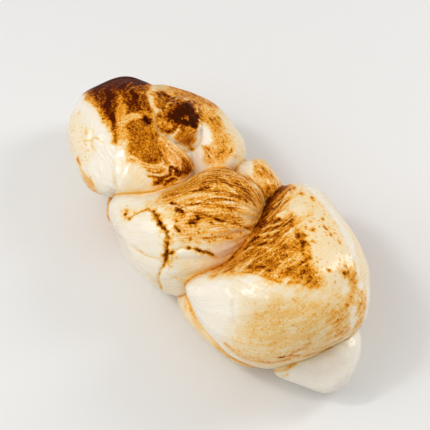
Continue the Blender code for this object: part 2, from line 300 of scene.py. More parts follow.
        (48.5, -13), (48, -8), (46, -5)]),
    "right, hem": ("lower", 0.38, 0.6, 1.8, [
        (51.5, -13), (54.5, -12), (55.5, -20), (53, -27), (49, -31), (50.5, -25), (52, -19)]),
    # Cream over the lower fold's belly, between its pale left and its tan bottom: painted shade
    "lower, painted shade at left": ("lower", 0.13, 0.1, 5.0, [
        (6, -11), (16, -8), (18, -20), (12, -38), (4, -30), (7, -20)]),
    # Tan over the bottom of the lower fold, darker towards the bottom: painted shade, with real flecks
    # in it
    "lower, painted shade at bottom": ("lower", 0.24, 0.35, 6.5, [
        (19, -12), (38, -11), (46, -16), (50, -27), (38, -38), (14, -43), (6, -32), (11, -22)]),
    "lower, orange": ("lower", 0.33, 0.7, 2.5, [(41, -17), (48, -18), (48, -29), (42, -26)]),
    "back, patch": ("back", 0.58, 0.2, 1.8, [
        (15, 36.5), (20, 35), (23, 31.5), (21, 29), (17.5, 32.5), (14.5, 34)]),
    "back, low": ("back", 0.60, 0.4, 1.5, [(20, 28), (24, 27), (23, 21), (20, 21), (19.5, 25)]),
    "back, pale": ("back", 0.10, 0.0, 1.2, [(9, 40), (13.5, 38.5), (15, 34), (12, 30), (9, 34)]),
}

# Brown and pale lines: lot of folds, brownness, half width, places in mm
STREAKED = [
    ("middle", 0.76, 0.30, [(-17.6, 20.9), (-15, 20.5), (-13, 19.2), (-10, 17.9), (-6, 16.8),
                            (-3, 15.8), (0, 14.6), (2.5, 14), (5, 13.1), (9, 12.2), (13, 10.5)]),
    ("middle", 0.80, 0.5, [(-9, 25.3), (-4, 25.6), (0, 25.3), (4, 25), (6, 24.1), (9, 22.8)]),
    ("middle", 0.84, 0.45, [(-6, 26.6), (-2.5, 26.2)]),
    ("middle", 0.76, 0.5, [(-5.5, 28.5), (-2, 28.8), (2, 28.2)]),
    ("middle", 0.80, 0.6, [(4.5, 31), (7.5, 28.3), (10, 25.8), (12.8, 21.5)]),
    ("middle", 0.76, 0.5, [(7, 30), (9.6, 27.3), (12, 24.5), (14.5, 20)]),
    ("middle", 0.74, 0.5, [(2.5, 29.5), (6, 26.8), (9.5, 23.5), (12, 20)]),
    ("middle", 0.72, 0.5, [(-20, 22.3), (-18.3, 23.4), (-15, 24), (-11, 24.6)]),
    ("middle", 0.66, 0.4, [(-3, 22), (1, 22.2), (6, 21.5)]),
    ("middle", 0.66, 0.4, [(-10, 20.6), (-5, 20.2), (1, 20), (7, 18)]),
    ("middle", 0.20, 0.5, [(-1, 27.3), (4, 27.3), (7, 25.4)]),
    ("middle", 0.22, 0.7, [(-13, 23), (-7, 23.8), (-2, 23.6)]),
    ("middle", 0.20, 0.6, [(-12, 19), (-7, 19), (-2, 18)]),
    ("middle", 0.18, 0.6, [(5, 10.6), (9, 10.6), (13.5, 9)]),
    ("middle", 0.60, 0.4, [(-5, 7.4), (-3, 7.6), (1, 7.9), (2.5, 7.3), (5.5, 7.5)]),
    ("middle", 0.62, 1.3, [(-10, 13.3), (-8.2, 13.9), (-7, 15)]),
    ("middle", 0.72, 0.8, [(-15, 18.5), (-13.5, 18), (-12.7, 17.1)]),
    ("middle", 0.70, 0.7, [(14, 8.3), (16.2, 11.5), (17.4, 15), (18, 19)]),
    ("middle", 0.42, 0.45, [(-19.8, -3), (-21.3, -4.8), (-22.2, -7), (-22.6, -9.5), (-21.7, -13)]),
    ("middle", 0.30, 0.35, [(-32.6, 3.8), (-29.7, 2), (-26.5, 0.2), (-22.5, -0.5), (-19.6, -0.7)]),
    ("middle", 0.30, 0.35, [(-16.5, 1.5), (-15.3, 2.7), (-13.7, 3.6), (-11.3, 3.8)]),
    ("middle", 0.28, 0.35, [(-1, 1), (0, -0.2), (4, 0), (8, 1.8), (11, 4.3)]),
    ("middle", 0.24, 0.4, [(-18, -7.5), (-13, -8.8), (-8, -9.4)]),
    ("lower", 0.92, 0.9, [(18.5, 16), (20.3, 20), (23, 23.2), (25.2, 26.8), (27, 29)]),
    ("lower", 0.90, 0.8, [(11, 3.4), (14, 7), (16, 10), (18, 13.5)]),
    ("lower", 0.85, 0.45, [(18, 13.4), (20.5, 16), (23, 19.5), (25, 22.5)]),
    ("lower", 0.82, 0.4, [(17.3, 11.5), (20, 13.8), (23.5, 15.3)]),
    ("lower", 0.80, 0.45, [(16.5, 9.8), (19.5, 11.2), (24, 12.3), (28, 14)]),
    ("lower", 0.78, 0.45, [(15.5, 7.6), (19, 8.3), (24, 9.2)]),
    ("lower", 0.76, 0.45, [(14, 5.5), (18, 5.7), (23, 6.3)]),
    ("lower", 0.64, 0.5, [(18.5, -1.2), (22, -1.3), (26, -1.6)]),
    ("lower", 0.62, 0.5, [(16.5, -3), (21, -4.6), (27, -5.4), (32, -4.5), (35, -2.5)]),
    ("lower", 0.54, 0.6, [(29.5, -7.3), (33, -7), (36, -5.5)]),
    ("lower", 0.50, 0.7, [(31, -9.2), (34, -8.2), (37, -6.4)]),
    ("lower", 0.12, 0.4, [(19.3, 14.4), (22, 17.4), (25, 21), (28, 24.8)]),
    ("lower", 0.16, 0.35, [(17.5, 11), (20.5, 12.4), (24, 13.5)]),
    ("lower", 0.20, 0.35, [(16, 8.6), (19, 9.4), (23, 10.4)]),
    ("lower", 0.20, 0.35, [(17.5, 6.8), (20.5, 7.4)]),
    ("lower", 0.24, 0.35, [(12, 3.6), (16, 4.1), (20, 3.8)]),
    ("lower", 0.52, 0.4, [(2, -5.2), (9, -5), (15, -5.8), (20, -7.4), (24, -8.4), (30, -8.5)]),
    ("lower", 0.17, 0.35, [(4, -6.5), (9, -8.6), (13, -10.6), (18, -12.4)]),
    ("lower", 0.15, 0.35, [(6, -9), (10, -12), (12.5, -15.5)]),
    ("lower", 0.60, 0.5, [(23, -36.5), (27, -35.4), (30.5, -33.3), (34, -30.8)]),
    ("lower", 0.46, 0.5, [(26, -36.2), (32, -36.4), (38, -35.6), (43, -34)]),
    ("lower", 0.40, 0.5, [(32, -33.3), (38, -33.2), (44, -31.2), (48, -28.5)]),
    ("lower", 0.44, 0.6, [(3, -32), (7, -35.3), (12, -37.3), (20, -38.7), (27, -37.5)]),
    ("lower", 0.30, 0.7, [(28, -16.2), (31, -16.5)]),
    ("lower", 0.26, 0.6, [(22, -20), (27, -21.5), (33, -22), (38, -20)]),
    ("lower", 0.26, 0.6, [(20, -26), (26, -27.5), (33, -27.5), (39, -25)]),
    ("head", 0.52, 0.35, [(-35.6, 64.8), (-34.5, 66.4), (-33.2, 67.4)]),
    ("head", 0.46, 0.45, [(-31.5, 64.8), (-30, 65.4), (-28.8, 64.6)]),
    ("head", 0.42, 0.40, [(-30.2, 63.2), (-30.3, 61.8)]),
    ("head", 0.44, 0.30, [(-29.4, 59.2), (-28, 57.6), (-26.6, 55.9)]),
    ("head", 0.34, 0.40, [(-36.2, 60), (-35.9, 57.8), (-36.8, 55.6)]),
    ("head", 0.90, 0.35, [(-35, 56.6), (-33.2, 58.6), (-31.8, 59.8)]),
    ("head", 0.88, 0.35, [(-31.4, 58.4), (-30, 56.6)]),
    ("head", 0.56, 0.30, [(-44.9, 65.5), (-44.4, 63), (-44.8, 60.4)]),
    ("head", 0.58, 0.30, [(-41.6, 61.6), (-41.2, 58.6), (-41.9, 56)]),
    ("head", 0.56, 0.28, [(-33.8, 62.6), (-32.8, 64.8), (-31.9, 66.6)]),
    ("head", 0.54, 0.28, [(-36.4, 66.6), (-35.4, 68.4), (-33.8, 69.6)]),
    ("head", 0.48, 0.30, [(-47.4, 64), (-46.2, 62)]),
    ("head", 0.72, 0.5, [(-20.3, 62.2), (-18, 61.6), (-14, 62.2), (-10, 61)]),
    ("head", 0.80, 0.5, [(-17, 60.8), (-18, 58.6)]),
    ("head", 0.86, 0.6, [(-23.4, 55.4), (-22.4, 57), (-20.4, 58.3), (-18.6, 57.6), (-17.6, 56)]),
    ("head", 0.84, 0.6, [(-23.4, 54.5), (-22.7, 52), (-21, 50), (-18.6, 49), (-16.4, 49.8)]),
    ("head", 0.82, 0.5, [(-22.2, 55.3), (-20.6, 54.8), (-20.1, 56.3)]),
    ("head", 0.78, 0.6, [(-15.8, 52.6), (-15.8, 50.4)]),
    ("head", 0.38, 0.9, [(-21, 54), (-19.4, 52), (-18, 51)]),
    ("head", 0.42, 0.40, [(-14.4, 54), (-12.4, 52.4), (-10.6, 50.8)]),
    ("head", 0.18, 0.35, [(-36.6, 51.5), (-34.5, 54), (-31, 54.9), (-28.5, 54.8)]),
    ("head", 0.20, 0.35, [(-38, 50.5), (-36.3, 53.8), (-33.5, 55.9), (-29, 56)]),
    ("head", 0.16, 0.75, [(-27.4, 65), (-26.4, 63.3), (-25.9, 61.6), (-25.2, 60)]),
    ("head", 0.20, 0.40, [(-25.2, 60), (-24.3, 58.3), (-24.6, 56.3), (-24.7, 54), (-24, 52),
                          (-24.4, 50.3)]),
    ("head", 0.20, 0.45, [(-21.8, 57.8), (-23.8, 56), (-23.7, 53), (-23.2, 50.5), (-21.4, 48.2),
                          (-18, 46.3), (-14, 43.8), (-10, 42.5)]),
    ("head", 0.10, 0.5, [(-18, 47.4), (-16.4, 48.1), (-15, 50)]),
    ("head", 0.16, 0.35, [(-19.4, 46), (-14.2, 41.6), (-10.7, 37.2), (-9.2, 34.8)]),
    ("head", 0.20, 0.30, [(-17.5, 45.2), (-12.6, 41.3), (-9.4, 37.5)]),
    ("head", 0.24, 0.30, [(-21.4, 46), (-17, 41.2), (-13.8, 37)]),
    ("head", 0.24, 0.30, [(-21.8, 42.4), (-18.8, 38.6), (-15.2, 35.4)]),
    ("head", 0.85, 0.40, [(-22.4, 42), (-20.3, 38), (-18.6, 35.3)]),
    ("head", 0.72, 0.7, [(-10, 42.6), (-9.4, 42.2)]),
    ("head", 0.16, 0.32, [(-33, 39), (-30, 37.2), (-27, 36.1), (-24.5, 35.6), (-22, 35.9),
                          (-20.3, 36.9)]),
    ("head", 0.14, 0.32, [(-31.5, 37), (-29, 35.7), (-26, 34.9), (-23, 34.7), (-20.8, 35.5)]),
    ("head", 0.12, 0.34, [(-30.5, 35.5), (-28, 34.3), (-25, 33.4), (-22.3, 33.5), (-20.3, 35)]),
    ("head", 0.06, 0.45, [(-28.5, 33.8), (-26, 32.5), (-24, 32), (-22, 31.7), (-20.4, 32.2),
                          (-19.4, 33.8), (-19, 35.6)]),
    ("head", 0.80, 0.35, [(-27, 33.7), (-25, 32.9), (-22.8, 32.8), (-21.4, 34)]),
    ("head", 0.78, 0.40, [(-26.2, 31.3), (-24, 31.2)]),
    ("head", 0.20, 0.32, [(-20.7, 28.2), (-20.3, 30), (-18.8, 30.6), (-17.3, 31.7),
                          (-17, 33.6)]),
    ("head", 0.25, 0.30, [(-17.2, 31.5), (-14.5, 30.8)]),
    ("head", 0.30, 0.45, [(-52.5, 45.6), (-50, 45.6), (-48.3, 46.6), (-46.3, 46.2), (-45, 44.8)]),
    ("head", 0.26, 0.45, [(-49, 45.2), (-49, 43), (-47.7, 41.6)]),
    ("head", 0.28, 0.8, [(-51.3, 50.3), (-51.2, 48.4)]),
    ("head", 0.18, 0.5, [(-40.3, 33), (-39.6, 29.5), (-38.8, 27)]),
    ("head", 0.60, 0.7, [(-55.6, 38.6), (-54.2, 36.2)]),
    ("back", 0.10, 0.6, [(13, 33), (16, 28), (18, 22), (18.6, 18)]),
    ("back", 0.90, 1.0, [(20.5, 22), (19.6, 19), (19, 15)]),
    ("back", 0.20, 0.6, [(17, 37), (22, 34), (25, 30)]),
    ("left", 0.10, 0.6, [(-41, 21), (-41, 14)]),
    ("sliver", 0.34, 0.8, [(-11, -13), (-10.6, -18), (-9, -23), (-6.5, -28)]),
    ("sliver", 0.30, 0.6, [(-10.8, -13), (-12, -17), (-12.2, -21)]),
    ("sliver", 0.34, 0.9, [(-1, -34), (3, -37), (8, -40), (14, -42)]),
    ("foot", 0.34, 0.9, [(22, -44), (26, -43), (30, -40)]),
    ("foot", 0.28, 0.6, [(24, -46.5), (27, -45)]),
]

# Charred lines and spots: lot of folds, how charred (over 1 closes the gaps in the char), half
# width, places in mm
CHARRED = [
    ("middle", 0.9, 0.60, [(-34.6, 17.4), (-34.9, 16.4)]),
    ("middle", 0.9, 0.55, [(-34.4, 15.2), (-33.6, 14.8)]),
    ("middle", 0.7, 0.28, [(-33.2, 15), (-31.8, 16), (-30.3, 17), (-28.5, 17.8), (-26.5, 18.5)]),
    ("middle", 0.7, 0.34, [(-26.5, 18.5), (-25.2, 17.6), (-23.8, 17)]),
    ("middle", 0.9, 0.60, [(-23.9, 17.2), (-23.2, 16.2)]),
    ("middle", 0.9, 0.85, [(-22.7, 15.2), (-22, 14.2), (-21.3, 12.6)]),
    ("middle", 0.9, 0.50, [(-21.2, 12.6), (-20.6, 11.4)]),
    ("middle", 0.9, 0.85, [(-20.2, 11.3), (-19.5, 10.2)]),
    ("middle", 0.9, 0.55, [(-19.2, 9.6), (-18.6, 8), (-18.5, 6.5)]),
    ("middle", 0.9, 0.85, [(-18.6, 7), (-18.7, 5.2)]),
    ("middle", 0.9, 0.55, [(-18.8, 5), (-18.9, 2.8)]),
    ("middle", 0.9, 0.90, [(-18.9, 2.2), (-19.2, 1)]),
    ("middle", 0.9, 0.60, [(-17.9, 1.3), (-17.1, 1.9)]),
    ("middle", 0.9, 1.00, [(-19.3, 0.2), (-19.7, -1.2)]),
    ("middle", 0.9, 0.50, [(-19.9, -2), (-20.2, -2.9)]),
    ("middle", 0.9, 0.42, [(-11.2, 3.6), (-9.2, 3.5), (-7.6, 3)]),
    ("middle", 0.9, 0.55, [(-7.4, 2.9), (-6, 2.6), (-4.5, 2.3)]),
    ("middle", 0.9, 0.50, [(-3.6, 2), (-2.4, 1.6), (-1.4, 0.9)]),
    ("middle", 0.9, 0.48, [(-15.4, 11.4), (-14.8, 10.4), (-14.3, 9.7)]),
    ("middle", 0.9, 0.42, [(-15.3, 13.8), (-15.1, 13.5)]),
    ("middle", 0.9, 0.42, [(-10.2, 6.9), (-9.8, 7.2)]),
    ("middle", 0.9, 0.60, [(-9.6, 13), (-8.6, 13.4)]),
    ("middle", 0.9, 0.45, [(-7.6, 14.4), (-7, 15.4)]),
    ("middle", 0.9, 0.50, [(-14.4, 18.2), (-13, 17.4)]),
    ("middle", 0.9, 0.40, [(-17.4, 20.9), (-16.6, 20.7)]),
    ("middle", 0.9, 0.40, [(-2, 13.4), (-1.7, 13)]),
    ("middle", 0.9, 0.42, [(0, 14.4), (1, 14.2), (2.4, 14)]),
    ("lower", 0.75, 0.45, [(29.5, 10.8), (29.8, 10.5)]),
    ("lower", 0.75, 0.70, [(30.2, 8.8), (30.5, 8)]),
    ("lower", 0.75, 0.65, [(32.3, 9), (32.9, 8.2)]),
    ("lower", 0.75, 0.60, [(32.5, 6.5), (31.5, 5.4), (31.2, 4.6)]),
    ("lower", 0.75, 0.45, [(33.4, 5.8), (33.8, 5.2)]),
    ("lower", 0.75, 0.65, [(30.7, 3.2), (32, 3.4)]),
    ("lower", 0.75, 0.60, [(31.6, 2.1), (32.6, 2)]),
    ("lower", 0.75, 0.50, [(33.5, 3.1), (33.8, 2.7)]),
    ("lower", 0.75, 0.70, [(33.1, 0.6), (32.6, -0.4)]),
    ("lower", 0.75, 0.50, [(34, 1.2), (34.2, 0.6)]),
    ("lower", 0.75, 0.35, [(32.9, -2), (32.9, -2.3)]),
    ("lower", 0.75, 0.35, [(33, 11.5), (33.3, 11.2)]),
    ("lower", 0.75, 0.50, [(35.5, 10.5), (36, 10.3)]),
    ("lower", 0.75, 0.32, [(40, 11.6), (41, 10.4)]),
    ("lower", 0.75, 0.32, [(35.4, 6.6), (35.6, 6.2)]),
    ("lower", 0.75, 0.34, [(42.2, 9.2), (42.3, 8.6)]),
    ("lower", 0.75, 0.34, [(45.4, 6.2), (45.6, 5.8)]),
    ("lower", 0.75, 0.32, [(39.7, 14.4), (40, 14.1)]),
    ("lower", 0.75, 0.40, [(36.2, 22.3), (36.8, 21.6)]),
    ("lower", 0.75, 0.40, [(32.3, 24.7), (32.8, 24.3)]),
    ("lower", 0.75, 0.36, [(30, 26.6), (30.4, 26.3)]),
    ("lower", 0.75, 0.36, [(40.6, -3.8), (41.3, -4.3)]),
    ("lower", 0.75, 0.60, [(46.8, -5), (47.3, -5.6)]),
    ("lower", 0.75, 0.45, [(50.4, -8.2), (50.6, -9)]),
    ("lower", 0.75, 0.35, [(47.8, -16.9), (48.2, -17.2)]),
    ("head", 1.0, 0.75, [(-27.8, 54.9), (-27.4, 54.4)]),
    ("head", 1.0, 0.75, [(-26.7, 53.5), (-26.4, 53)]),
    ("head", 1.0, 0.9, [(-17.4, 54.9), (-15, 54.3)]),
    ("head", 1.0, 1.5, [(-14.6, 57.2), (-12.6, 58.2), (-10.8, 59)]),
    ("head", 2.2, 1.4, [(-13.6, 55.6), (-12, 56.4), (-10, 57)]),
    ("head", 0.7, 1.0, [(-49, 68.6), (-45, 70.6), (-40, 71.8), (-34, 71.6), (-30, 70.4)]),
    ("head", 0.5, 0.9, [(-43.4, 66), (-42.6, 62.5), (-43.2, 60)]),
    ("head", 0.5, 0.8, [(-37.6, 68.4), (-35.8, 66.8)]),
    ("head", 0.5, 0.7, [(-33.4, 65), (-31.6, 63.2)]),
    ("head", 0.5, 0.7, [(-41.5, 56.5), (-40.4, 53.5)]),
    ("head", 1.0, 0.8, [(-16, 56.6), (-14.8, 55.8)]),
    ("head", 1.0, 1.1, [(-9.6, 55), (-8.4, 53.6)]),
    ("head", 1.0, 1.1, [(-13, 53.2), (-11.2, 51.8)]),
    ("head", 1.0, 1.0, [(-10, 53.8), (-8.7, 51.4)]),
    ("head", 1.0, 0.6, [(-7.6, 56), (-7, 53.6)]),
]

# Raised (+) and sunk (-) lines of the skin: lot of folds, height, half width, places, all in mm
MODELLED = [
    ("head", -0.8, 0.7, [(-25.4, 60), (-24.2, 57.6), (-23.7, 55), (-23.4, 52), (-21.6, 48.8),
                         (-17.8, 46), (-14, 43.7), (-10.5, 42.2), (-7.5, 44.5), (-5.8, 49.5)]),
    ("head", 0.35, 0.7, [(-25.4, 58.6), (-24.9, 56), (-24.6, 53), (-24.2, 50), (-22.2, 47),
                         (-18.6, 44.8)]),
    ("head", -0.5, 0.7, [(-22.9, 48), (-22.6, 43), (-20.5, 38.6), (-18.8, 35.3)]),
    ("head", 0.45, 0.55, [(-38.8, 50), (-36.8, 53), (-33.8, 55), (-30, 55.3), (-28.4, 55)]),
    ("head", -0.40, 0.6, [(-36.6, 50.4), (-35, 52.6), (-32, 53.6), (-28.8, 53.4)]),
    ("head", 0.30, 0.5, [(-38.2, 48.5), (-36.2, 51.5), (-33.5, 54)]),
    ("head", 0.35, 0.45, [(-33, 39), (-30, 37.2), (-27, 36.1), (-24.5, 35.6), (-22, 35.9),
                          (-20.3, 36.9)]),
    ("head", 0.40, 0.45, [(-31.5, 37), (-29, 35.7), (-26, 34.9), (-23, 34.7), (-20.8, 35.5)]),
    ("head", 0.42, 0.45, [(-30.5, 35.5), (-28, 34.3), (-25, 33.4), (-22.3, 33.5), (-20.3, 35)]),
    ("head", 0.50, 0.5, [(-28.5, 33.8), (-26, 32.5), (-24, 32), (-22, 31.7), (-20.4, 32.2),
                         (-19.4, 33.8), (-19, 35.6)]),
    ("head", 0.40, 0.45, [(-20.7, 28.2), (-20.3, 30), (-18.8, 30.6), (-17.3, 31.7),
                          (-17, 33.6)]),
    ("head", 0.30, 0.5, [(-19.4, 46), (-14.2, 41.6), (-10.7, 37.2), (-9.2, 34.8)]),
    ("head", -0.28, 0.5, [(-20.4, 46), (-15.2, 41), (-11.8, 36.6)]),
    ("head", 0.24, 0.45, [(-21.4, 46), (-17, 41.2), (-13.8, 37)]),
    ("head", 0.60, 0.8, [(-47.5, 46.5), (-45.5, 47.6), (-43, 47.2), (-41.5, 45), (-40, 41)]),
    ("head", 0.68, 0.7, [(-46.5, 43.2), (-45, 40), (-43, 37), (-41.5, 33.5), (-40.6, 30)]),
    ("head", -0.45, 0.8, [(-45.2, 43), (-42.8, 38.8), (-41, 35.6), (-39.6, 31), (-38.8, 26)]),
    ("head", 0.35, 0.6, [(-39.2, 36), (-38.6, 31.5), (-37.4, 33.5), (-37.6, 37.6)]),
    ("head", -0.45, 0.8, [(-49, 48), (-50, 43), (-48, 36), (-44, 29), (-40, 25)]),
    ("head", 0.45, 0.7, [(-50, 52), (-51, 46), (-50, 40), (-47, 34)]),
    ("head", 0.45, 0.7, [(-47, 32), (-44, 28.5), (-41, 27.5)]),
    ("head", -1.3, 0.85, [(-27.8, 54.9), (-27.4, 54.5)]),
    ("head", -1.3, 0.85, [(-26.7, 53.5), (-26.4, 53)]),
    ("head", -0.5, 0.7, [(-27.5, 67), (-26.3, 63.5), (-25.4, 60)]),
    ("head", -0.5, 0.6, [(-20.3, 62.2), (-18, 61.6), (-14, 62.2), (-10, 61)]),
    ("head", -0.4, 0.5, [(-17, 60.8), (-18, 58.6)]),
    ("head", 0.40, 0.8, [(-23, 54), (-22, 56.8), (-20.3, 57.8), (-18.6, 56.6), (-17.8, 54)]),
    ("head", -0.40, 0.6, [(-21.2, 54.6), (-20.3, 56.2), (-19, 55.6)]),
    ("head", -0.45, 0.6, [(-18, 47.4), (-16.4, 48.4), (-15, 50.4), (-14.6, 53)]),
    ("head", -0.25, 0.6, [(-2, 58), (1, 52), (2, 45), (3, 40)]),
    ("head", 0.22, 0.6, [(-3.4, 58.5), (0, 52), (0.8, 45), (1.6, 40)]),
    ("middle", -0.55, 0.7, [(-33.8, 15.2), (-31.2, 16.8), (-28.8, 18), (-26.3, 18.4), (-24.2, 17.5),
                            (-21.4, 13.2), (-18.9, 9), (-18.7, 6.5), (-18.9, 3), (-19.2, 0),
                            (-19.8, -2.5)]),
    ("middle", -0.45, 0.6, [(-16.5, 1.5), (-15.3, 2.7), (-12.5, 3.8), (-8.6, 3.5), (-4.6, 2.4),
                            (-1.3, 0.9)]),
    ("middle", 0.30, 1.6, [(-17, -2), (-14, 1), (-8, 1.6), (-2, -1)]),
    ("middle", -0.40, 0.9, [(-16.7, -0.9), (-7, -0.7), (0, -0.3), (5, 0.9), (8.5, 2.7)]),
    ("middle", 0.45, 1.6, [(-18, -5), (-8, -3.6), (0, -2.6), (5, -1)]),
    ("middle", -0.30, 0.9, [(-17, -8.5), (-9, -6.6), (-2, -5), (3, -3.4)]),
    ("middle", -0.45, 0.9, [(-32.6, 3.8), (-29.7, 1.9), (-26.3, 0.2), (-22.5, -0.8), (-19.6, -1)]),
    ("middle", -0.40, 0.8, [(-20, -3), (-21.3, -4.8), (-22.2, -7), (-22.6, -9.5), (-21.7, -13)]),
    ("middle", -0.32, 0.6, [(-17.6, 20.9), (-15, 20.5), (-10, 17.9), (-6, 16.8), (0, 14.6),
                            (5, 13.1), (9, 12.2), (13, 10.5)]),
    ("middle", 0.30, 0.8, [(-15, 19), (-6, 15.6), (2, 12.8), (8, 11), (13, 9.3)]),
    ("middle", -0.30, 0.6, [(-9, 25.3), (-4, 25.6), (0, 25.3), (4, 25), (9, 22.8)]),
    ("middle", -0.30, 0.7, [(-26, 20.5), (-20, 21), (-10, 20.5), (0, 19.8), (9, 16.8), (15, 13)]),
    ("lower", -0.55, 0.8, [(18, 13.4), (20.5, 16), (23, 19.5), (25, 22.5)]),
    ("lower", 0.45, 0.6, [(19.3, 14.4), (22, 17.4), (25, 21), (28, 24.8)]),
    ("lower", 0.40, 0.9, [(19.5, 13.8), (23, 16.2), (28, 18.3), (33, 20)]),
    ("lower", -0.50, 0.7, [(17.3, 11.5), (20, 13.8), (24, 15.2), (29, 16.6)]),
    ("lower", 0.35, 0.5, [(17.5, 11), (20.5, 12.4), (24, 13.5)]),
    ("lower", -0.40, 0.6, [(15.5, 7.6), (19, 8.3), (24, 9.2)]),
    ("lower", 0.35, 0.5, [(16, 8.6), (19, 9.4), (23, 10.4)]),
    ("lower", -0.35, 0.6, [(14, 5.5), (18, 5.7), (23, 6.3)]),
    ("lower", 0.30, 0.7, [(3, -5.5), (9, -5.6), (15, -6.4), (20, -8), (24, -9)]),
    ("lower", -0.22, 0.7, [(4, -6.5), (9, -8.8), (13, -11), (18, -13.4)]),
    ("lower", 0.30, 0.5, [(6, -6.4), (11, -7.8), (15, -9.6), (19, -11)]),
    ("lower", 0.35, 0.6, [(13, -7), (17, -8.6), (22, -10)]),
    ("lower", 0.30, 0.6, [(3, -8), (7, -10.5), (10, -13.5)]),
    ("lower", -0.30, 0.8, [(4, -11), (6, -15), (6.5, -20), (6, -25)]),
    ("lower", 0.30, 0.8, [(5, -14), (4, -18), (6, -22)]),
    ("lower", -0.30, 0.8, [(28, -36), (34, -36), (40, -35.3), (47, -33)]),
    ("lower", -0.25, 0.7, [(26, -36), (31, -33.6), (34.5, -31)]),
    ("lower", 0.6, 1.6, [(35, 25), (41, 18), (46.5, 8.5), (50, 0), (51, -5)]),
    ("sliver", -0.5, 0.8, [(-10.5, -13.5), (-9.5, -19), (-7, -25), (-1, -32)]),
    ("left", -0.6, 0.8, [(-42.5, 22), (-42, 16), (-42.5, 10)]),
]

# Skin whose fibres run their own way: lot of folds, way they run (or the middle that they turn
# round, in mm), and the outline
GRAINS = [
    ("head", "straight", (0.62, -0.78), [
        (-22.6, 51), (-18, 45.8), (-11, 39.8), (-8.3, 34.5), (-13, 33), (-18.5, 35.8),
        (-22.6, 43)]),
    ("head", "round", (-20, 54), [
        (-24, 56), (-20.5, 59), (-15, 62.3), (-9.5, 61.5), (-6, 56), (-6.5, 46), (-10, 43.3),
        (-14, 44.8), (-18, 47), (-23, 51)]),
]
# How much of the colour's pattern lies along the fibres on each fold, 0.5 where nothing is said
STREAKY = {"head_loop": 0.2, "head_return": 0.5, "knob": 0.5, "middle": 1.0, "lower": 1.0,
           "peep_back": 0.8}
STREAKY_ELSEWHERE = 0.5

# Fibres: radius of the tube that they are measured round, where the pattern is cut for straight
# and for round grain, and the radius on which the turns of round grain are counted, all in mm
TUBE = 25.0
STRAIGHT_CUT = 40.0
ROUND_CUT = 80.0
TURN_RADIUS = 6.0

# Patches of special skin on the head: kind, how strong, middle and radii in mm. Each has faded
# out at PATCH_REACH times its radii
PATCH_REACH = 1.6
PATCHES = [
    ("wrinkle", 1.0, (-43, 37), (8, 14)),
    ("net", 1.0, (-28, 45), (7, 10)),
    ("net", 1.0, (-15, 39), (6, 6)),
    ("blister", 1.0, (-14.5, 54.5), (8, 8)),
    ("blister", 0.6, (-21, 62.5), (5, 4)),
    ("blister", 0.5, (-17, 31), (7, 3.5)),
]

# How the stains lie, with the painted crease shade of the seams: brownness and shares from 0 to 1,
# the rest in mm
FLANK = (4.0, 26.0)         # heights between which the hidden sides turn from pale to clouded
CLOUD_SIZES = (15.0, 6.0)   # big clouds, and small ones half as strong
CLOUD_EDGE = (-0.15, 0.55)  # where a cloud begins and is full, as its random number
CLOUDED = 0.50              # brownness of the clouds
FLECKED_BACK = 0.5          # share of flecks on the fold at the back,
FLECKED = 0.1               # on the other visible folds where nothing is said,
FLECKED_HIDDEN = 0.4        # and on the hidden sides
HALO_FROM = 0.45            # brownness over which an area has a halo round it,
HALO = 0.42                 # its share of the area's brownness,
HALO_REACH = 1.8            # and how far it reaches
WANDER = (1.2, 1.3)         # how far edges wander: coarsely for each mm of soft edge, and finely
WANDER_EDGE = 2.0           # widest soft edge that the coarse wandering grows with
SPECK = 2.0                 # size of the gaps in the char
RAGGED = 0.9                # how ragged the char is, in its gaps and its width
SEAM_WIDTH = 0.85           # width of a browned seam, partly stain and partly painted crease shade
SEAM_FADE = 1.1             # power of its fading
SEAM_WEAKER = 0.55          # share taken off it on the foot, the sliver and the back, and below
SEAM_LOW = -25              # this place along UPHILL
FRONT_EDGE = (-0.35, 0.10)  # cosines to FACE between which the stains and the painted shade come in from the sides
COARSE = 4.0                # sizes of the two kinds of unevenness that edges and lines have
FINE = 1.5

# Pleats: distances from a gather, in mm, between which they rise and then fade, and how strong
# they are on folds other than the middle and the lower one
PLEATS_RISE = (2.0, 8.0)
PLEATS_FADE = (12.0, 30.0)
PLEATS_ELSEWHERE = 0.5


def linear(code):
    """sRGB hex to linear red, green and blue."""
    parts = [int(code[i:i + 2], 16) / 255 for i in (0, 2, 4)]
    return tuple(c / 12.92 if c <= 0.04045 else ((c + 0.055) / 1.055) ** 2.4 for c in parts)


def add(tree, kind, inputs=None, out=0, **settings):
    """A node with its settings and its links or values, given back as one of its outputs."""
    made = tree.nodes.new(kind)
    for name, value in settings.items():
        setattr(made, name, value)
    for key, value in (inputs or {}).items():
        if isinstance(value, bpy.types.NodeSocket):
            tree.links.new(value, made.inputs[key])
        else:
            made.inputs[key].default_value = value
    return made.outputs[out] if len(made.outputs) else made


def length_input(name, description, default, high=0.01):
    return FloatProperty(name=name, description=description, default=default, min=0.0, max=high,
                         precision=5, unit="LENGTH", subtype="DISTANCE")


def colour_input(name, description, code):
    return FloatVectorProperty(name=name, description=description, default=linear(code), size=3,
                               min=0.0, max=1.0, subtype="COLOR")


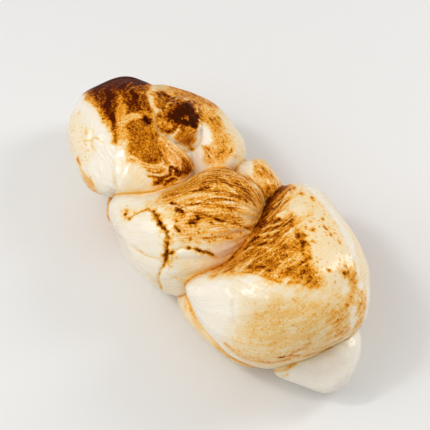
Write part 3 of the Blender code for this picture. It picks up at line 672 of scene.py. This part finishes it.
class SkinSettings(bpy.types.PropertyGroup):
    """Sizes and colours of the cheese's skin."""
    cell: length_input("Cell", "Cell size in which the folds are fused", 0.72 * MM)
    ease: IntProperty(name="Ease", description="Rounds of smoothing in the creases", default=2, min=0)
    lump: length_input("Lumps", "Height of the slow lumps of the curd", 0.35 * MM)
    pleat: length_input("Pleats", "Height of the pleats at the gathers", 0.55 * MM)
    strand: length_input("Strands", "Height of the fine stretched strands", 0.10 * MM)
    wrinkle: length_input("Wrinkles", "Height of the wrinkles of the pale skin", 0.20 * MM)
    net: length_input("Net", "Height of the netted skin of the head", 0.14 * MM)
    blister: length_input("Blisters", "Height of the blisters of the knob", 0.45 * MM)
    seed: IntProperty(name="Seed", description="Seed of the relief", default=7, min=0)
    ivory: colour_input("Ivory", "Curd that took no smoke", "F9F3E9")
    cream: colour_input("Cream", "Curd with a breath of smoke", "F4E4C4")
    straw: colour_input("Straw", "Lightly smoked curd", "F2CA80")
    gold: colour_input("Gold", "Smoked curd", "ECA22C")
    amber: colour_input("Amber", "Well smoked curd", "D27F10")
    chestnut: colour_input("Chestnut", "Strongly smoked curd", "AA5F0C")
    brown: colour_input("Brown", "Hard smoked curd", "762F04")
    umber: colour_input("Umber", "Darkest smoked curd", "4A1600")
    char: colour_input("Char", "Charred curd", "3A1404")


class StageSettings(bpy.types.PropertyGroup):
    """Floor, lights and camera."""
    floor: colour_input("Floor", "Colour of the floor", "E9E8E6")
    azimuth: FloatProperty(name="Azimuth", description="Turn of the camera round the braid",
                           default=math.radians(51.0), subtype="ANGLE", unit="ROTATION")
    elevation: FloatProperty(name="Elevation", description="Height angle of the camera",
                             default=math.radians(58.0), subtype="ANGLE", unit="ROTATION")
    distance: length_input("Distance", "From the camera to the braid", 0.65, high=5.0)
    key: FloatProperty(name="Key", description="Power of the big soft light", default=1.75, min=0.0,
                       unit="POWER")
    rim: FloatProperty(name="Rim", description="Power of the long light at the side", default=1.4,
                       min=0.0, unit="POWER")
    spark: FloatProperty(name="Spark", description="Power of the small light that glints",
                         default=0.6, min=0.0, unit="POWER")
    low: FloatProperty(name="Low", description="Power of the weak light low at the left",
                       default=0.18, min=0.0, unit="POWER")
    fill: FloatProperty(name="Fill", description="Strength of the light from all round",
                        default=0.52, min=0.0)


# ---------------------------------------------------------------- shape of the rope


def through(rows, where):
    """Smooth curve through rows of numbers, at places counted in rows."""
    rows = np.array(rows, float)
    ends = np.vstack([2 * rows[0] - rows[1], rows, 2 * rows[-1] - rows[-2]])
    first = np.clip(np.floor(where).astype(int), 0, len(rows) - 2)
    part = (where - first)[:, None]
    a, b, c, d = (ends[first + i] for i in range(4))
    bend = 2 * a - 5 * b + 4 * c - d
    twist = 3 * b - a - 3 * c + d
    return 0.5 * (2 * b + (c - a) * part + bend * part**2 + twist * part**3)


def fold_rings(width_way, depth_way, caps, slices):
    """Rings of points along one fold in mm, closing to a rounded tip at both ends."""
    where = np.linspace(0, len(slices) - 1, LENGTH_STEPS)
    middle = through(slices, where)[:, :3]
    steps = np.linalg.norm(np.diff(middle, axis=0), axis=1)
    run = np.concatenate([[0.0], np.cumsum(steps)])
    length = run[-1]
    along = length * 0.5 * (1 - np.cos(np.linspace(0, np.pi, FOLD_SLICES)))
    rows = through(slices, np.interp(along, run, where))
    ease = np.ones(FOLD_SLICES)
    for cap, reach in zip(caps, (along, length - along)):
        ease *= np.sqrt(1 - (1 - np.clip(reach / cap, 0, 1)) ** 2)
    angle = np.linspace(0, 2 * np.pi, SLICE_POINTS, endpoint=False)
    wide = np.outer(rows[:, 3] * ease, np.cos(angle))[:, :, None] * np.array(width_way)
    deep = np.outer(rows[:, 4] * ease, np.sin(angle))[:, :, None] * np.array(depth_way)
    return rows[:, None, :3] + wide + deep


def fold_skin(rings):
    """Points and faces of one fold: quads between the rings and a fan at each tip."""
    points = [rings[0].mean(axis=0), *rings[1:-1].reshape(-1, 3), rings[-1].mean(axis=0)]
    loops = len(rings) - 2
    faces = []
    for i in range(SLICE_POINTS):
        j = (i + 1) % SLICE_POINTS
        for k in range(loops - 1):
            near, far = 1 + k * SLICE_POINTS, 1 + (k + 1) * SLICE_POINTS
            faces.append((near + i, near + j, far + j, far + i))
        last = 1 + (loops - 1) * SLICE_POINTS
        faces.append((0, 1 + j, 1 + i))
        faces.append((len(points) - 1, last + i, last + j))
    return np.array(points), faces


def settle(obj):
    """Replace an object's mesh by what its modifiers make of it."""
    graph = bpy.context.evaluated_depsgraph_get()
    made = bpy.data.meshes.new_from_object(obj.evaluated_get(graph))
    obj.modifiers.clear()
    obj.data = made


def fused_rope(skins, settings):
    """All the folds as one object with one skin, in metres, still where FOLDS puts them."""
    points, faces, count = [], [], 0
    for fold_points, fold_faces in skins.values():
        points.append(fold_points * MM)
        faces.extend(tuple(count + i for i in face) for face in fold_faces)
        count += len(fold_points)
    data = bpy.data.meshes.new("folds")
    data.from_pydata(np.vstack(points).tolist(), [], faces)
    mesh = bmesh.new()
    mesh.from_mesh(data)
    bmesh.ops.recalc_face_normals(mesh, faces=mesh.faces)
    mesh.to_mesh(data)
    mesh.free()
    obj = bpy.data.objects.new("smoked_braid", data)
    bpy.context.scene.collection.objects.link(obj)
    remesh = obj.modifiers.new("fuse", "REMESH")
    remesh.mode = "VOXEL"
    remesh.voxel_size = settings.cell
    ease = obj.modifiers.new("ease", "SMOOTH")
    ease.factor = 0.5
    ease.iterations = settings.ease
    settle(obj)
    return obj


def read_points(data, what="vertices", field="co"):
    values = np.empty(len(getattr(data, what)) * 3, np.float32)
    getattr(data, what).foreach_get(field, values)
    return values.reshape(-1, 3).astype(float)


def write_points(data, points):
    data.vertices.foreach_set("co", points.astype(np.float32).ravel())
    data.update()


# ---------------------------------------------------------------- what is written onto the skin


def smooth(values, low, high):
    part = np.clip((values - low) / (high - low), 0, 1)
    return part * part * (3 - 2 * part)


def rough_values(points, size, seed):
    """Smooth random number from -1 to 1 at each point, varying over size mm."""
    off = Vector((seed * 17.3, seed * 5.1, seed * 9.7))
    return np.array([noise.noise(Vector(p) / size + off) for p in points])


class Skin:
    """The fused skin's points in mm, with what each one is near to and is stained by."""

    def __init__(self, points, normals, skins, shift):
        self.points = points
        self.plane = np.stack([points @ np.array(LEVEL), points @ np.array(UPHILL)], axis=1)
        self.front = smooth(normals @ np.array(FACE), *FRONT_EDGE)
        self.coarse = rough_values(points, COARSE, 1)
        self.fine = rough_values(points, FINE, 2)
        self.find_folds(skins, shift)
        self.run_fibres(shift)

    def find_folds(self, skins, shift):
        """Nearest fold and lot of folds at each point, and how near the next lot is."""
        names = list(skins)
        lots = list(GROUPS)
        apart = np.full((len(self.points), len(names)), FAR_OFF)
        margin = 5.0
        for i, (points, faces) in enumerate(skins.values()):
            placed = points + shift
            low, high = placed.min(axis=0) - margin, placed.max(axis=0) + margin
            near = np.flatnonzero(np.all((self.points > low) & (self.points < high), axis=1))
            tree = BVHTree.FromPolygons(placed.tolist(), faces)
            for k in near:
                hit = tree.find_nearest(self.points[k], margin)
                if hit[0] is not None:
                    apart[k, i] = hit[3]
        fold = apart.argmin(axis=1)
        lot_apart = np.stack([apart[:, [names.index(n) for n in GROUPS[lot][1]]].min(axis=1)
                              for lot in lots], axis=1)
        nearest_lot = lot_apart.argmin(axis=1)
        ordered = np.sort(lot_apart, axis=1)
        self.seam = ordered[:, 1] - ordered[:, 0]
        self.lots = {lot: nearest_lot == i for i, lot in enumerate(lots)}
        self.folds = {name: fold == i for i, name in enumerate(names)}

    def run_fibres(self, shift):
        """Places measured along and round the line between a fold's two gathers, in mm.

        The way round is measured on a tube of one size, so that the fibres close up at the gathers.
        """
        self.fibre = np.zeros_like(self.points)
        self.gather = np.full(len(self.points), FAR_OFF)
        self.streaky = np.full(len(self.points), STREAKY_ELSEWHERE)
        for name, here in self.folds.items():
            slices = FOLDS[name][3]
            start, end = GATHERS.get(name, (slices[0][:3], slices[-1][:3]))
            start, end = np.array(start, float) + shift, np.array(end, float) + shift
            axis = (end - start) / np.linalg.norm(end - start)
            side = np.cross(axis, FACE)
            side /= np.linalg.norm(side)
            out = np.cross(side, axis)
            arm = self.points[here] - start
            run = arm @ axis
            off = arm - np.outer(run, axis)
            off /= np.linalg.norm(off, axis=1)[:, None] + 1e-6
            self.fibre[here] = np.stack([off @ side * TUBE, off @ out * TUBE, run], axis=1)
            if name in GATHERS:
                self.gather[here] = np.linalg.norm(self.points[here] - start, axis=1)
            self.streaky[here] = STREAKY.get(name, STREAKY_ELSEWHERE)
        for lot, way, value, places in GRAINS:
            here = self.near(lot, places, 0.5)
            here = here[self.area_depth(here, places) > 0]
            across = self.plane[here] - np.array(value)
            if way == "straight":
                along = self.plane[here] @ np.array(value)
                across = self.plane[here] @ np.array((value[1], -value[0]))
                cut = np.full(len(here), STRAIGHT_CUT)
                self.fibre[here] = np.stack([across, cut, along], axis=1)
            else:
                reach = np.linalg.norm(across, axis=1)
                turn = np.arctan2(across[:, 1], across[:, 0]) * TURN_RADIUS
                cut = np.full(len(here), ROUND_CUT)
                self.fibre[here] = np.stack([reach, cut, turn], axis=1)

    def near(self, lot, places, reach):
        """Points of a lot of folds, on the broad faces, that lie near the places."""
        low, high = np.min(places, axis=0) - reach, np.max(places, axis=0) + reach
        inside = np.all((self.plane > low) & (self.plane < high), axis=1)
        return np.flatnonzero(inside & self.lots[lot] & (self.front > 0))

    def line_distance(self, here, places):
        """How far points lie from the curve through the places, in the plane of the broad faces."""
        curve = through(places, np.linspace(0, len(places) - 1, CURVE_STEPS * len(places)))
        spots = self.plane[here]
        best = np.full(len(here), FAR_OFF)
        for a, b in zip(curve, curve[1:]):
            ab = b - a
            part = np.clip(((spots - a) @ ab) / max(ab @ ab, 1e-9), 0, 1)
            best = np.minimum(best, np.linalg.norm(spots - a - part[:, None] * ab, axis=1))
        return best

    def area_depth(self, here, places):
        """How far inside (+) or outside (-) an outline points lie."""
        loop = list(places) + [places[0]]
        depth = self.line_distance(here, loop)
        curve = through(loop, np.linspace(0, len(loop) - 1, CURVE_STEPS * len(loop)))
        x, y = self.plane[here].T
        inside = np.zeros(len(here), bool)
        for (ax, ay), (bx, by) in zip(curve, curve[1:]):
            crosses = (ay > y) != (by > y)
            slope = (x - ax) * (by - ay) - (y - ay) * (bx - ax)
            inside ^= crosses & ((slope < 0) == (by < ay))
        return np.where(inside, depth, -depth)


def stains_and_painted_light(skin):
    """How smoked, flecked and charred the skin is at each point, with painted shade and a painted
    highlight among the smoked areas.
    """
    count = len(skin.points)
    height = smooth(skin.points[:, 2], *FLANK)
    big, small = (rough_values(skin.points, size, 3 + i) for i, size in enumerate(CLOUD_SIZES))
    clouds = big + 0.5 * small
    base = np.zeros(count)
    for lot, (tone, _) in GROUPS.items():
        base[skin.lots[lot]] = tone
    hidden = base + (CLOUDED - 0.5 * base) * smooth(clouds, *CLOUD_EDGE) * height
    smoke = base.copy()
    fleck = np.where(skin.lots["back"], FLECKED_BACK, FLECKED)
    for lot, tone, flecks, edge, places in SMOKED_AND_PAINTED_LIGHT.values():
        here = skin.near(lot, places, edge + 3.0)
        depth = skin.area_depth(here, places)
        if tone > HALO_FROM:
            halo = tone * HALO * np.exp(np.minimum(depth, 0) / HALO_REACH)
            smoke[here] = np.maximum(smoke[here], halo)
        depth = depth + WANDER[0] * skin.coarse[here] * min(edge, WANDER_EDGE)
        depth = depth + WANDER[1] * skin.fine[here]
        cover = smooth(depth, -edge, edge)
        smoke[here] += (tone - smoke[here]) * cover
        fleck[here] += (flecks - fleck[here]) * cover
    for lot, tone, half, places in STREAKED:
        here = skin.near(lot, places, 4 * half + 1)
        apart = skin.line_distance(here, places) / half
        cover = np.exp(-(apart ** 2)) * (0.85 + 0.5 * skin.fine[here])
        smoke[here] += (tone - smoke[here]) * np.clip(cover, 0, 1)
    smoke = hidden + (smoke - hidden) * skin.front
    fleck = FLECKED_HIDDEN + (fleck - FLECKED_HIDDEN) * skin.front
    char = np.zeros(count)
    specks = rough_values(skin.points, SPECK, 5)
    for lot, strength, half, places in CHARRED:
        here = skin.near(lot, places, 3 * half + 1)
        width = 1.5 * half * (1 + RAGGED * skin.fine[here])
        apart = skin.line_distance(here, places) / width
        broken = strength * np.clip(1.0 + RAGGED * specks[here], 0, 1)
        char[here] = np.maximum(char[here], np.exp(-(apart ** 2)) * np.minimum(broken, 1.0))
    return smoke, fleck, char * skin.front


def modelled(skin):
    """Height in mm of the single ridges, grooves and pits."""
    height = np.zeros(len(skin.points))
    for lot, rise, half, places in MODELLED:
        here = skin.near(lot, places, 3 * half)
        apart = skin.line_distance(here, places) / half
        height[here] += rise * np.exp(-(apart ** 2)) * (1 + 0.5 * skin.fine[here])
    return height * skin.front


def regions(skin):
    """Where the pleats, wrinkles, net and blisters of the skin are, from 0 to 1."""
    pleat = smooth(skin.gather, *PLEATS_RISE) * (1 - smooth(skin.gather, *PLEATS_FADE))
    pleat *= np.where(skin.lots["lower"] | skin.lots["middle"], 1.0, PLEATS_ELSEWHERE)
    found = {kind: np.zeros(len(skin.points)) for kind, *_ in PATCHES}
    for kind, strength, middle, radii in PATCHES:
        apart = (skin.plane - np.array(middle)) / np.array(radii)
        patch = smooth(PATCH_REACH - np.linalg.norm(apart, axis=1), 0.0, 1.0) * skin.front
        found[kind] += strength * patch * skin.lots["head"]
    return {"pleat": pleat, **{kind: np.clip(values, 0, 1) for kind, values in found.items()}}


def write_attribute(data, name, values):
    kind = "FLOAT_VECTOR" if values.ndim == 2 else "FLOAT"
    field = "vector" if values.ndim == 2 else "value"
    made = data.attributes.new(name, kind, "POINT")
    made.data.foreach_set(field, values.astype(np.float32).ravel())


def write_skin(data, skin):
    smoke, fleck, char = stains_and_painted_light(skin)
    # Brown along the seams between lots of folds: partly stain, partly painted shade in the creases
    seam = np.exp(-(skin.seam / SEAM_WIDTH) ** SEAM_FADE)
    weak = skin.lots["sliver"] | skin.lots["foot"] | skin.lots["back"]
    weak |= skin.plane[:, 1] < SEAM_LOW
    seam *= 1 - SEAM_WEAKER * weak
    written = {
        "smoke": smoke, "fleck": fleck, "char": char, "modelled": modelled(skin),
        "seam": seam, **regions(skin), "fibre": skin.fibre, "streaky": skin.streaky,
        "whole": np.ones(len(skin.points)),
    }
    for name, values in written.items():
        write_attribute(data, name, values)


# ---------------------------------------------------------------- relief

# One layer of relief: where it is, what it follows, its size in mm along x, y and z (or round,
# round and along the fibres), detail of its texture, and the name of its height input
RELIEF = [
    ("whole", "place", (17.0, 17.0, 17.0), 1.0, "Lumps"),
    ("pleat", "fibre", (4.5, 4.5, 60.0), 1.0, "Pleats"),
    ("whole", "fibre", (2.6, 2.6, 16.0), 2.0, "Strands"),
    ("wrinkle", "fibre", (3.2, 3.2, 14.0), 1.5, "Wrinkles"),
    ("net", "place", (1.9, 1.9, 1.9), 2.0, "Net"),
    ("blister", "place", (3.6, 3.6, 3.6), 2.0, "Blisters"),
]


def relief_tree():
    """Geometry nodes that raise the skin: every layer pushes points along their normals."""
    tree = bpy.data.node_groups.new("skin relief", "GeometryNodeTree")
    tree.interface.new_socket("Geometry", in_out="INPUT", socket_type="NodeSocketGeometry")
    for layer in RELIEF:
        socket = tree.interface.new_socket(layer[4], in_out="INPUT", socket_type="NodeSocketFloat")
        socket.subtype = "DISTANCE"
    tree.interface.new_socket("Seed", in_out="INPUT", socket_type="NodeSocketFloat")
    tree.interface.new_socket("Material", in_out="INPUT", socket_type="NodeSocketMaterial")
    tree.interface.new_socket("Geometry", in_out="OUTPUT", socket_type="NodeSocketGeometry")
    given = add(tree, "NodeGroupInput").node.outputs
    place = add(tree, "ShaderNodeVectorMath", {0: add(tree, "GeometryNodeInputPosition"),
                                               "Scale": 1 / MM}, operation="SCALE")
    fibre = add(tree, "GeometryNodeInputNamedAttribute", {"Name": "fibre"},
                data_type="FLOAT_VECTOR")
    height = add(tree, "ShaderNodeMath", {
        0: add(tree, "GeometryNodeInputNamedAttribute", {"Name": "modelled"}, data_type="FLOAT"),
        1: MM}, operation="MULTIPLY")
    for where, follows, size, detail, name in RELIEF:
        spot = add(tree, "ShaderNodeVectorMath", {0: place if follows == "place" else fibre,
                                                  1: size}, operation="DIVIDE")
        texture = add(tree, "ShaderNodeTexNoise", {
            "Vector": spot, "W": given["Seed"], "Scale": 1.0, "Detail": detail,
            "Roughness": 0.5}, noise_dimensions="4D")
        swing = add(tree, "ShaderNodeMapRange", {
            "Value": texture, "From Min": 0.3, "From Max": 0.7, "To Min": -1.0, "To Max": 1.0},
            clamp=False)
        share = add(tree, "GeometryNodeInputNamedAttribute", {"Name": where}, data_type="FLOAT")
        scaled = add(tree, "ShaderNodeMath", {0: share, 1: given[name]}, operation="MULTIPLY")
        height = add(tree, "ShaderNodeMath", {0: swing, 1: scaled, 2: height},
                     operation="MULTIPLY_ADD")
    push = add(tree, "ShaderNodeVectorMath", {0: add(tree, "GeometryNodeInputNormal"),
                                              "Scale": height}, operation="SCALE")
    raised = add(tree, "GeometryNodeSetPosition", {"Geometry": given["Geometry"], "Offset": push})
    real = add(tree, "GeometryNodeRealizeInstances", {"Geometry": raised})
    done = add(tree, "GeometryNodeSetMaterial", {"Geometry": real, "Material": given["Material"]})
    add(tree, "NodeGroupOutput", {"Geometry": done})
    return tree


def raise_relief(obj, settings, material):
    tree = relief_tree()
    given = {"Lumps": settings.lump, "Pleats": settings.pleat, "Strands": settings.strand,
             "Wrinkles": settings.wrinkle, "Net": settings.net, "Blisters": settings.blister,
             "Seed": float(settings.seed), "Material": material}
    modifier = obj.modifiers.new("relief", "NODES")
    modifier.node_group = tree
    for socket in tree.interface.items_tree:
        if socket.in_out == "INPUT" and socket.name in given:
            modifier[socket.identifier] = given[socket.name]
    settle(obj)


def fit_to_solid(data):
    """Flatten what sagged onto the plane, and bring the skin to the solid's own box."""
    points = read_points(data)
    points[:, 2] = np.maximum(points[:, 2], 0.0)
    low, high = points.min(axis=0), points.max(axis=0)
    solid_low, solid_high = (np.array(corner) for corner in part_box("braid"))
    points = solid_low + (points - low) * (solid_high - solid_low) / (high - low)
    write_points(data, points)


# ---------------------------------------------------------------- finish

SEAM_BROWN = 0.44           # brownness that a seam (partly stain, partly painted crease shade), char and flecks add to the skin's own
CHAR_BROWN = 0.60
FLECK_BROWN = 0.42
FLECK_SIZE = 1.15           # mm
FINE_RELIEF = 0.05 * MM


def curd_material(settings):
    """Smoked stretched curd: a smooth, faintly wet skin, ivory and browned in the smoke, with painted
    shade and a painted highlight in its colour.

    Stretching leaves long fibres, so the brown lies in fine streaks along them; the skin is a
    little translucent, glossy where it is pale and duller where the smoke dried it.
    """
    material = bpy.data.materials.new("smoked stretched curd")
    material.use_nodes = True
    tree = material.node_tree
    shader = tree.nodes["Principled BSDF"]
    place = add(tree, "ShaderNodeVectorMath", {
        0: add(tree, "ShaderNodeTexCoord", out="Object"), "Scale": 1 / MM}, operation="SCALE")
    fibre = add(tree, "ShaderNodeAttribute", out="Vector", attribute_name="fibre")
    # The smoke read here also carries painted shade and a painted highlight
    smoke, fleck, char, seam, streaky = (
        add(tree, "ShaderNodeAttribute", out="Fac", attribute_name=name)
        for name in ("smoke", "fleck", "char", "seam", "streaky"))

    # How much the brown varies: hardly in the ivory, most in the gold
    vary = add(tree, "ShaderNodeMapRange", {"Value": smoke, "From Min": 0.18, "From Max": 0.48,
                                            "To Min": 0.06, "To Max": 1.0})
    # What it follows, size in mm, detail, swing and share: strands, dashes, mottling, clouds
    patterns = [
        (fibre, (2.4, 2.4, 16.0), 2.0, 0.12, streaky),
        (fibre, (0.75, 0.75, 6.0), 2.0, 0.23, streaky),
        (place, (0.8, 0.8, 0.8), 3.0, 0.22, None),
        (place, (5.0, 5.0, 5.0), 2.0, 0.10, None),
    ]
    change = 0.0
    swings = []
    for follows, size, detail, swing, share in patterns:
        spot = add(tree, "ShaderNodeVectorMath", {0: follows, 1: size}, operation="DIVIDE")
        texture = add(tree, "ShaderNodeTexNoise", {"Vector": spot, "Scale": 1.0,
                                                   "Detail": detail, "Roughness": 0.62})
        ranged = add(tree, "ShaderNodeMapRange", {
            "Value": texture, "From Min": 0.3, "From Max": 0.7, "To Min": -1.0, "To Max": 1.0},
            clamp=False)
        swings.append(ranged)
        if share is not None:
            ranged = add(tree, "ShaderNodeMath", {0: ranged, 1: share}, operation="MULTIPLY")
        change = add(tree, "ShaderNodeMath", {0: ranged, 1: swing, 2: change},
                     operation="MULTIPLY_ADD")
    tone = add(tree, "ShaderNodeMath", {0: change, 1: vary, 2: smoke}, operation="MULTIPLY_ADD")

    # Seams browned partly as stain and partly as painted crease shade, and the brown round char
    tone = add(tree, "ShaderNodeMath", {0: seam, 1: SEAM_BROWN, 2: tone}, operation="MULTIPLY_ADD")
    tone = add(tree, "ShaderNodeMath", {0: char, 1: CHAR_BROWN, 2: tone}, operation="MULTIPLY_ADD")

    # Flecks about 1 mm across, that lie in swarms
    spot = add(tree, "ShaderNodeVectorMath", {0: place, 1: (FLECK_SIZE,) * 3},
               operation="DIVIDE")
    dots = add(tree, "ShaderNodeTexNoise", {"Vector": spot, "Scale": 1.0, "Detail": 1.0,
                                            "Roughness": 0.5})
    dots = add(tree, "ShaderNodeMath", {0: swings[3], 1: 0.05, 2: dots}, operation="MULTIPLY_ADD")
    dots = add(tree, "ShaderNodeMapRange", {"Value": dots, "From Min": 0.60, "From Max": 0.71})
    dots = add(tree, "ShaderNodeMath", {0: dots, 1: fleck}, operation="MULTIPLY")
    tone = add(tree, "ShaderNodeMath", {0: dots, 1: FLECK_BROWN, 2: tone}, operation="MULTIPLY_ADD")

    ramp = tree.nodes.new("ShaderNodeValToRGB")
    tree.links.new(tone, ramp.inputs["Fac"])
    stops = [(0.0, settings.ivory), (0.12, settings.cream), (0.25, settings.straw),
             (0.41, settings.gold), (0.57, settings.amber), (0.70, settings.chestnut),
             (0.84, settings.brown), (0.97, settings.umber)]
    while len(ramp.color_ramp.elements) < len(stops):
        ramp.color_ramp.elements.new(0.5)
    for element, (at, colour) in zip(ramp.color_ramp.elements, stops):
        element.position = at
        element.color = (*colour, 1.0)

    # Char, crumbled and broken up
    crumbs = add(tree, "ShaderNodeMath", {0: swings[2], 1: 0.36, 2: char},
                 operation="MULTIPLY_ADD")
    burnt = add(tree, "ShaderNodeMapRange", {"Value": crumbs, "From Min": 0.48,
                                             "From Max": 0.95})
    mix = add(tree, "ShaderNodeMix", data_type="RGBA").node
    tree.links.new(burnt, mix.inputs[0])
    tree.links.new(ramp.outputs["Color"], mix.inputs[6])
    mix.inputs[7].default_value = (*settings.char, 1.0)
    tree.links.new(mix.outputs[2], shader.inputs["Base Color"])

    # A wet, milky sheen where it is pale; a thin golden one where the smoke dried it
    browned = add(tree, "ShaderNodeMapRange", {"Value": tone, "From Min": 0.10,
                                               "From Max": 0.58})
    gloss = add(tree, "ShaderNodeMapRange", {"Value": browned, "To Min": 0.27, "To Max": 0.42})
    tree.links.new(gloss, shader.inputs["Roughness"])
    shine = add(tree, "ShaderNodeMapRange", {"Value": browned, "To Min": 0.5, "To Max": 0.04})
    tree.links.new(shine, shader.inputs["Specular IOR Level"])
    tint = add(tree, "ShaderNodeMix", data_type="RGBA").node
    tree.links.new(browned, tint.inputs[0])
    tint.inputs[6].default_value = (*linear("FFFFFF"), 1.0)
    tint.inputs[7].default_value = (*linear("FFBC6F"), 1.0)
    tree.links.new(tint.outputs[2], shader.inputs["Specular Tint"])
    film = add(tree, "ShaderNodeMapRange", {"Value": browned, "To Min": 0.5, "To Max": 0.0})
    tree.links.new(film, shader.inputs["Coat Weight"])
    shader.inputs["Coat Roughness"].default_value = 0.09
    shader.inputs["IOR"].default_value = 1.42
    shader.inputs["Subsurface Weight"].default_value = 0.12
    shader.inputs["Subsurface Radius"].default_value = (1.0, 0.62, 0.32)
    shader.inputs["Subsurface Scale"].default_value = 1.2 * MM

    # Relief too fine for the mesh: strands under 1 mm apart and grain, hundredths of a mm high
    low = add(tree, "ShaderNodeMath", {0: swings[1], 1: FINE_RELIEF}, operation="MULTIPLY")
    grain = add(tree, "ShaderNodeMath", {0: swings[2], 1: FINE_RELIEF}, operation="MULTIPLY")
    grain = add(tree, "ShaderNodeMath", {0: grain, 1: vary, 2: low}, operation="MULTIPLY_ADD")
    bump = add(tree, "ShaderNodeBump", {"Height": grain, "Strength": 1.0, "Distance": 1.0})
    tree.links.new(bump, shader.inputs["Normal"])
    return material


def floor_material(colour):
    """Matt sprayed board: an even pale grey that catches a soft shadow."""
    material = bpy.data.materials.new("matt sprayed board")
    material.use_nodes = True
    shader = material.node_tree.nodes["Principled BSDF"]
    shader.inputs["Base Color"].default_value = (*colour, 1.0)
    shader.inputs["Roughness"].default_value = 0.7
    return material


# ---------------------------------------------------------------- operators and panel

FLOOR_HALF = 2.0            # half the floor's width in metres
FLOOR_GAP = 0.2 * MM        # how far it lies under the braid
LENS = 138.8                # focal length in mm
SENSOR = 36.0               # width of the camera's sensor in mm
AIM = Vector((0.5, -1.0, 1.4)) * MM     # from the middle of the braid to where the camera looks

# Soft lights: name, place to the right of the braid's middle, above it and towards the camera as
# the camera sees it, and size, all in metres
LIGHTS = [
    ("key", (-0.45, 0.20, 0.55), (0.5, 0.5)),
    ("spark", (-0.30, 0.22, 0.48), (0.05, 0.10)),
    ("low", (-0.55, -0.22, 0.22), (0.3, 0.4)),
    ("rim", (0.50, 0.32, 0.22), (0.15, 0.5)),
]


class CHEESE_OT_braid(bpy.types.Operator):
    """Make the braided cheese: fused folds, stained and modelled skin, with painted shade and a
    painted highlight in its colour
    """
    bl_idname = "cheese.braid"
    bl_label = "Make the Braid"

    def execute(self, context):
        settings = context.scene.cheese_skin
        skins = {name: fold_skin(fold_rings(*fold)) for name, fold in FOLDS.items()}
        braid = fused_rope(skins, settings)
        points = read_points(braid.data) / MM
        low, high = points.min(axis=0), points.max(axis=0)
        middle = (low + high) / 2
        solid_low, solid_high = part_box("braid")
        target = (solid_low + solid_high) / 2 / MM
        shift = np.array([target.x - middle[0], target.y - middle[1], -(low[2] + SAG)])
        points += shift
        write_points(braid.data, points * MM)
        normals = read_points(braid.data, "vertex_normals", "vector")
        write_skin(braid.data, Skin(points, normals, skins, shift))
        raise_relief(braid, settings, curd_material(settings))
        fit_to_solid(braid.data)
        braid.data.shade_smooth()
        braid.data.name = "smoked_braid"
        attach(braid, "root")
        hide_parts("braid")
        return {"FINISHED"}


def area_light(name, place, aim, size, power):
    """A soft rectangular light that looks at a point."""
    data = bpy.data.lights.new(name, "AREA")
    data.shape = "RECTANGLE"
    data.size, data.size_y = size
    data.energy = power
    obj = bpy.data.objects.new(name, data)
    obj.location = place
    obj.rotation_euler = (Vector(aim) - Vector(place)).to_track_quat("-Z", "Y").to_euler()
    bpy.context.scene.collection.objects.link(obj)


class CHEESE_OT_stage(bpy.types.Operator):
    """Set the pale floor, the soft lights and the camera"""
    bl_idname = "cheese.stage"
    bl_label = "Set the Stage"

    def execute(self, context):
        scene = context.scene
        settings = scene.cheese_stage
        low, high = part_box("braid")
        middle = (low + high) / 2

        board = bmesh.new()
        bmesh.ops.create_grid(board, x_segments=1, y_segments=1, size=FLOOR_HALF)
        data = bpy.data.meshes.new("floor")
        board.to_mesh(data)
        board.free()
        data.transform(Matrix.Translation((0, 0, low.z - FLOOR_GAP)))
        floor = bpy.data.objects.new("floor", data)
        data.materials.append(floor_material(settings.floor))
        scene.collection.objects.link(floor)

        turn, rise = settings.azimuth, settings.elevation
        right = Vector((math.cos(turn), math.sin(turn), 0.0))
        back = Vector((math.sin(turn) * math.cos(rise), -math.cos(turn) * math.cos(rise),
                       math.sin(rise)))
        up = back.cross(right)
        aim = middle + AIM
        eye = aim + back * settings.distance
        data = bpy.data.cameras.new("camera")
        data.lens = LENS
        data.sensor_width = SENSOR
        data.clip_start = 0.01
        camera = bpy.data.objects.new("camera", data)
        camera.matrix_world = Matrix.Translation(eye) @ Matrix((right, up, back)).transposed().to_4x4()
        scene.collection.objects.link(camera)
        scene.camera = camera

        for name, (aside, over, near), size in LIGHTS:
            place = middle + right * aside + up * over + back * near
            area_light(name, place, middle, size, getattr(settings, name))
        world = bpy.data.worlds.new("soft light")
        world.use_nodes = True
        sky = world.node_tree.nodes["Background"]
        sky.inputs["Color"].default_value = (*linear("FFFFFF"), 1.0)
        sky.inputs["Strength"].default_value = settings.fill
        scene.world = world
        scene.view_settings.view_transform = "Standard"
        return {"FINISHED"}


class CHEESE_PT_panel(bpy.types.Panel):
    """Buttons and settings of the braided cheese"""
    bl_idname = "CHEESE_PT_panel"
    bl_label = "Braided Smoked Cheese"
    bl_space_type = "VIEW_3D"
    bl_region_type = "UI"
    bl_category = "Cheese"

    def draw(self, context):
        for group, operator in ((context.scene.cheese_skin, CHEESE_OT_braid),
                                (context.scene.cheese_stage, CHEESE_OT_stage)):
            box = self.layout.box()
            for name in group.__annotations__:
                box.prop(group, name)
            box.operator(operator.bl_idname)


CLASSES = (SkinSettings, StageSettings, CHEESE_OT_braid, CHEESE_OT_stage, CHEESE_PT_panel)


def register():
    for cls in CLASSES:
        bpy.utils.register_class(cls)
    bpy.types.Scene.cheese_skin = PointerProperty(type=SkinSettings)
    bpy.types.Scene.cheese_stage = PointerProperty(type=StageSettings)


def unregister():
    del bpy.types.Scene.cheese_stage
    del bpy.types.Scene.cheese_skin
    for cls in reversed(CLASSES):
        bpy.utils.unregister_class(cls)


def main():
    register()
    bpy.ops.cheese.braid()
    bpy.ops.cheese.stage()


if __name__ == "__main__":
    main()
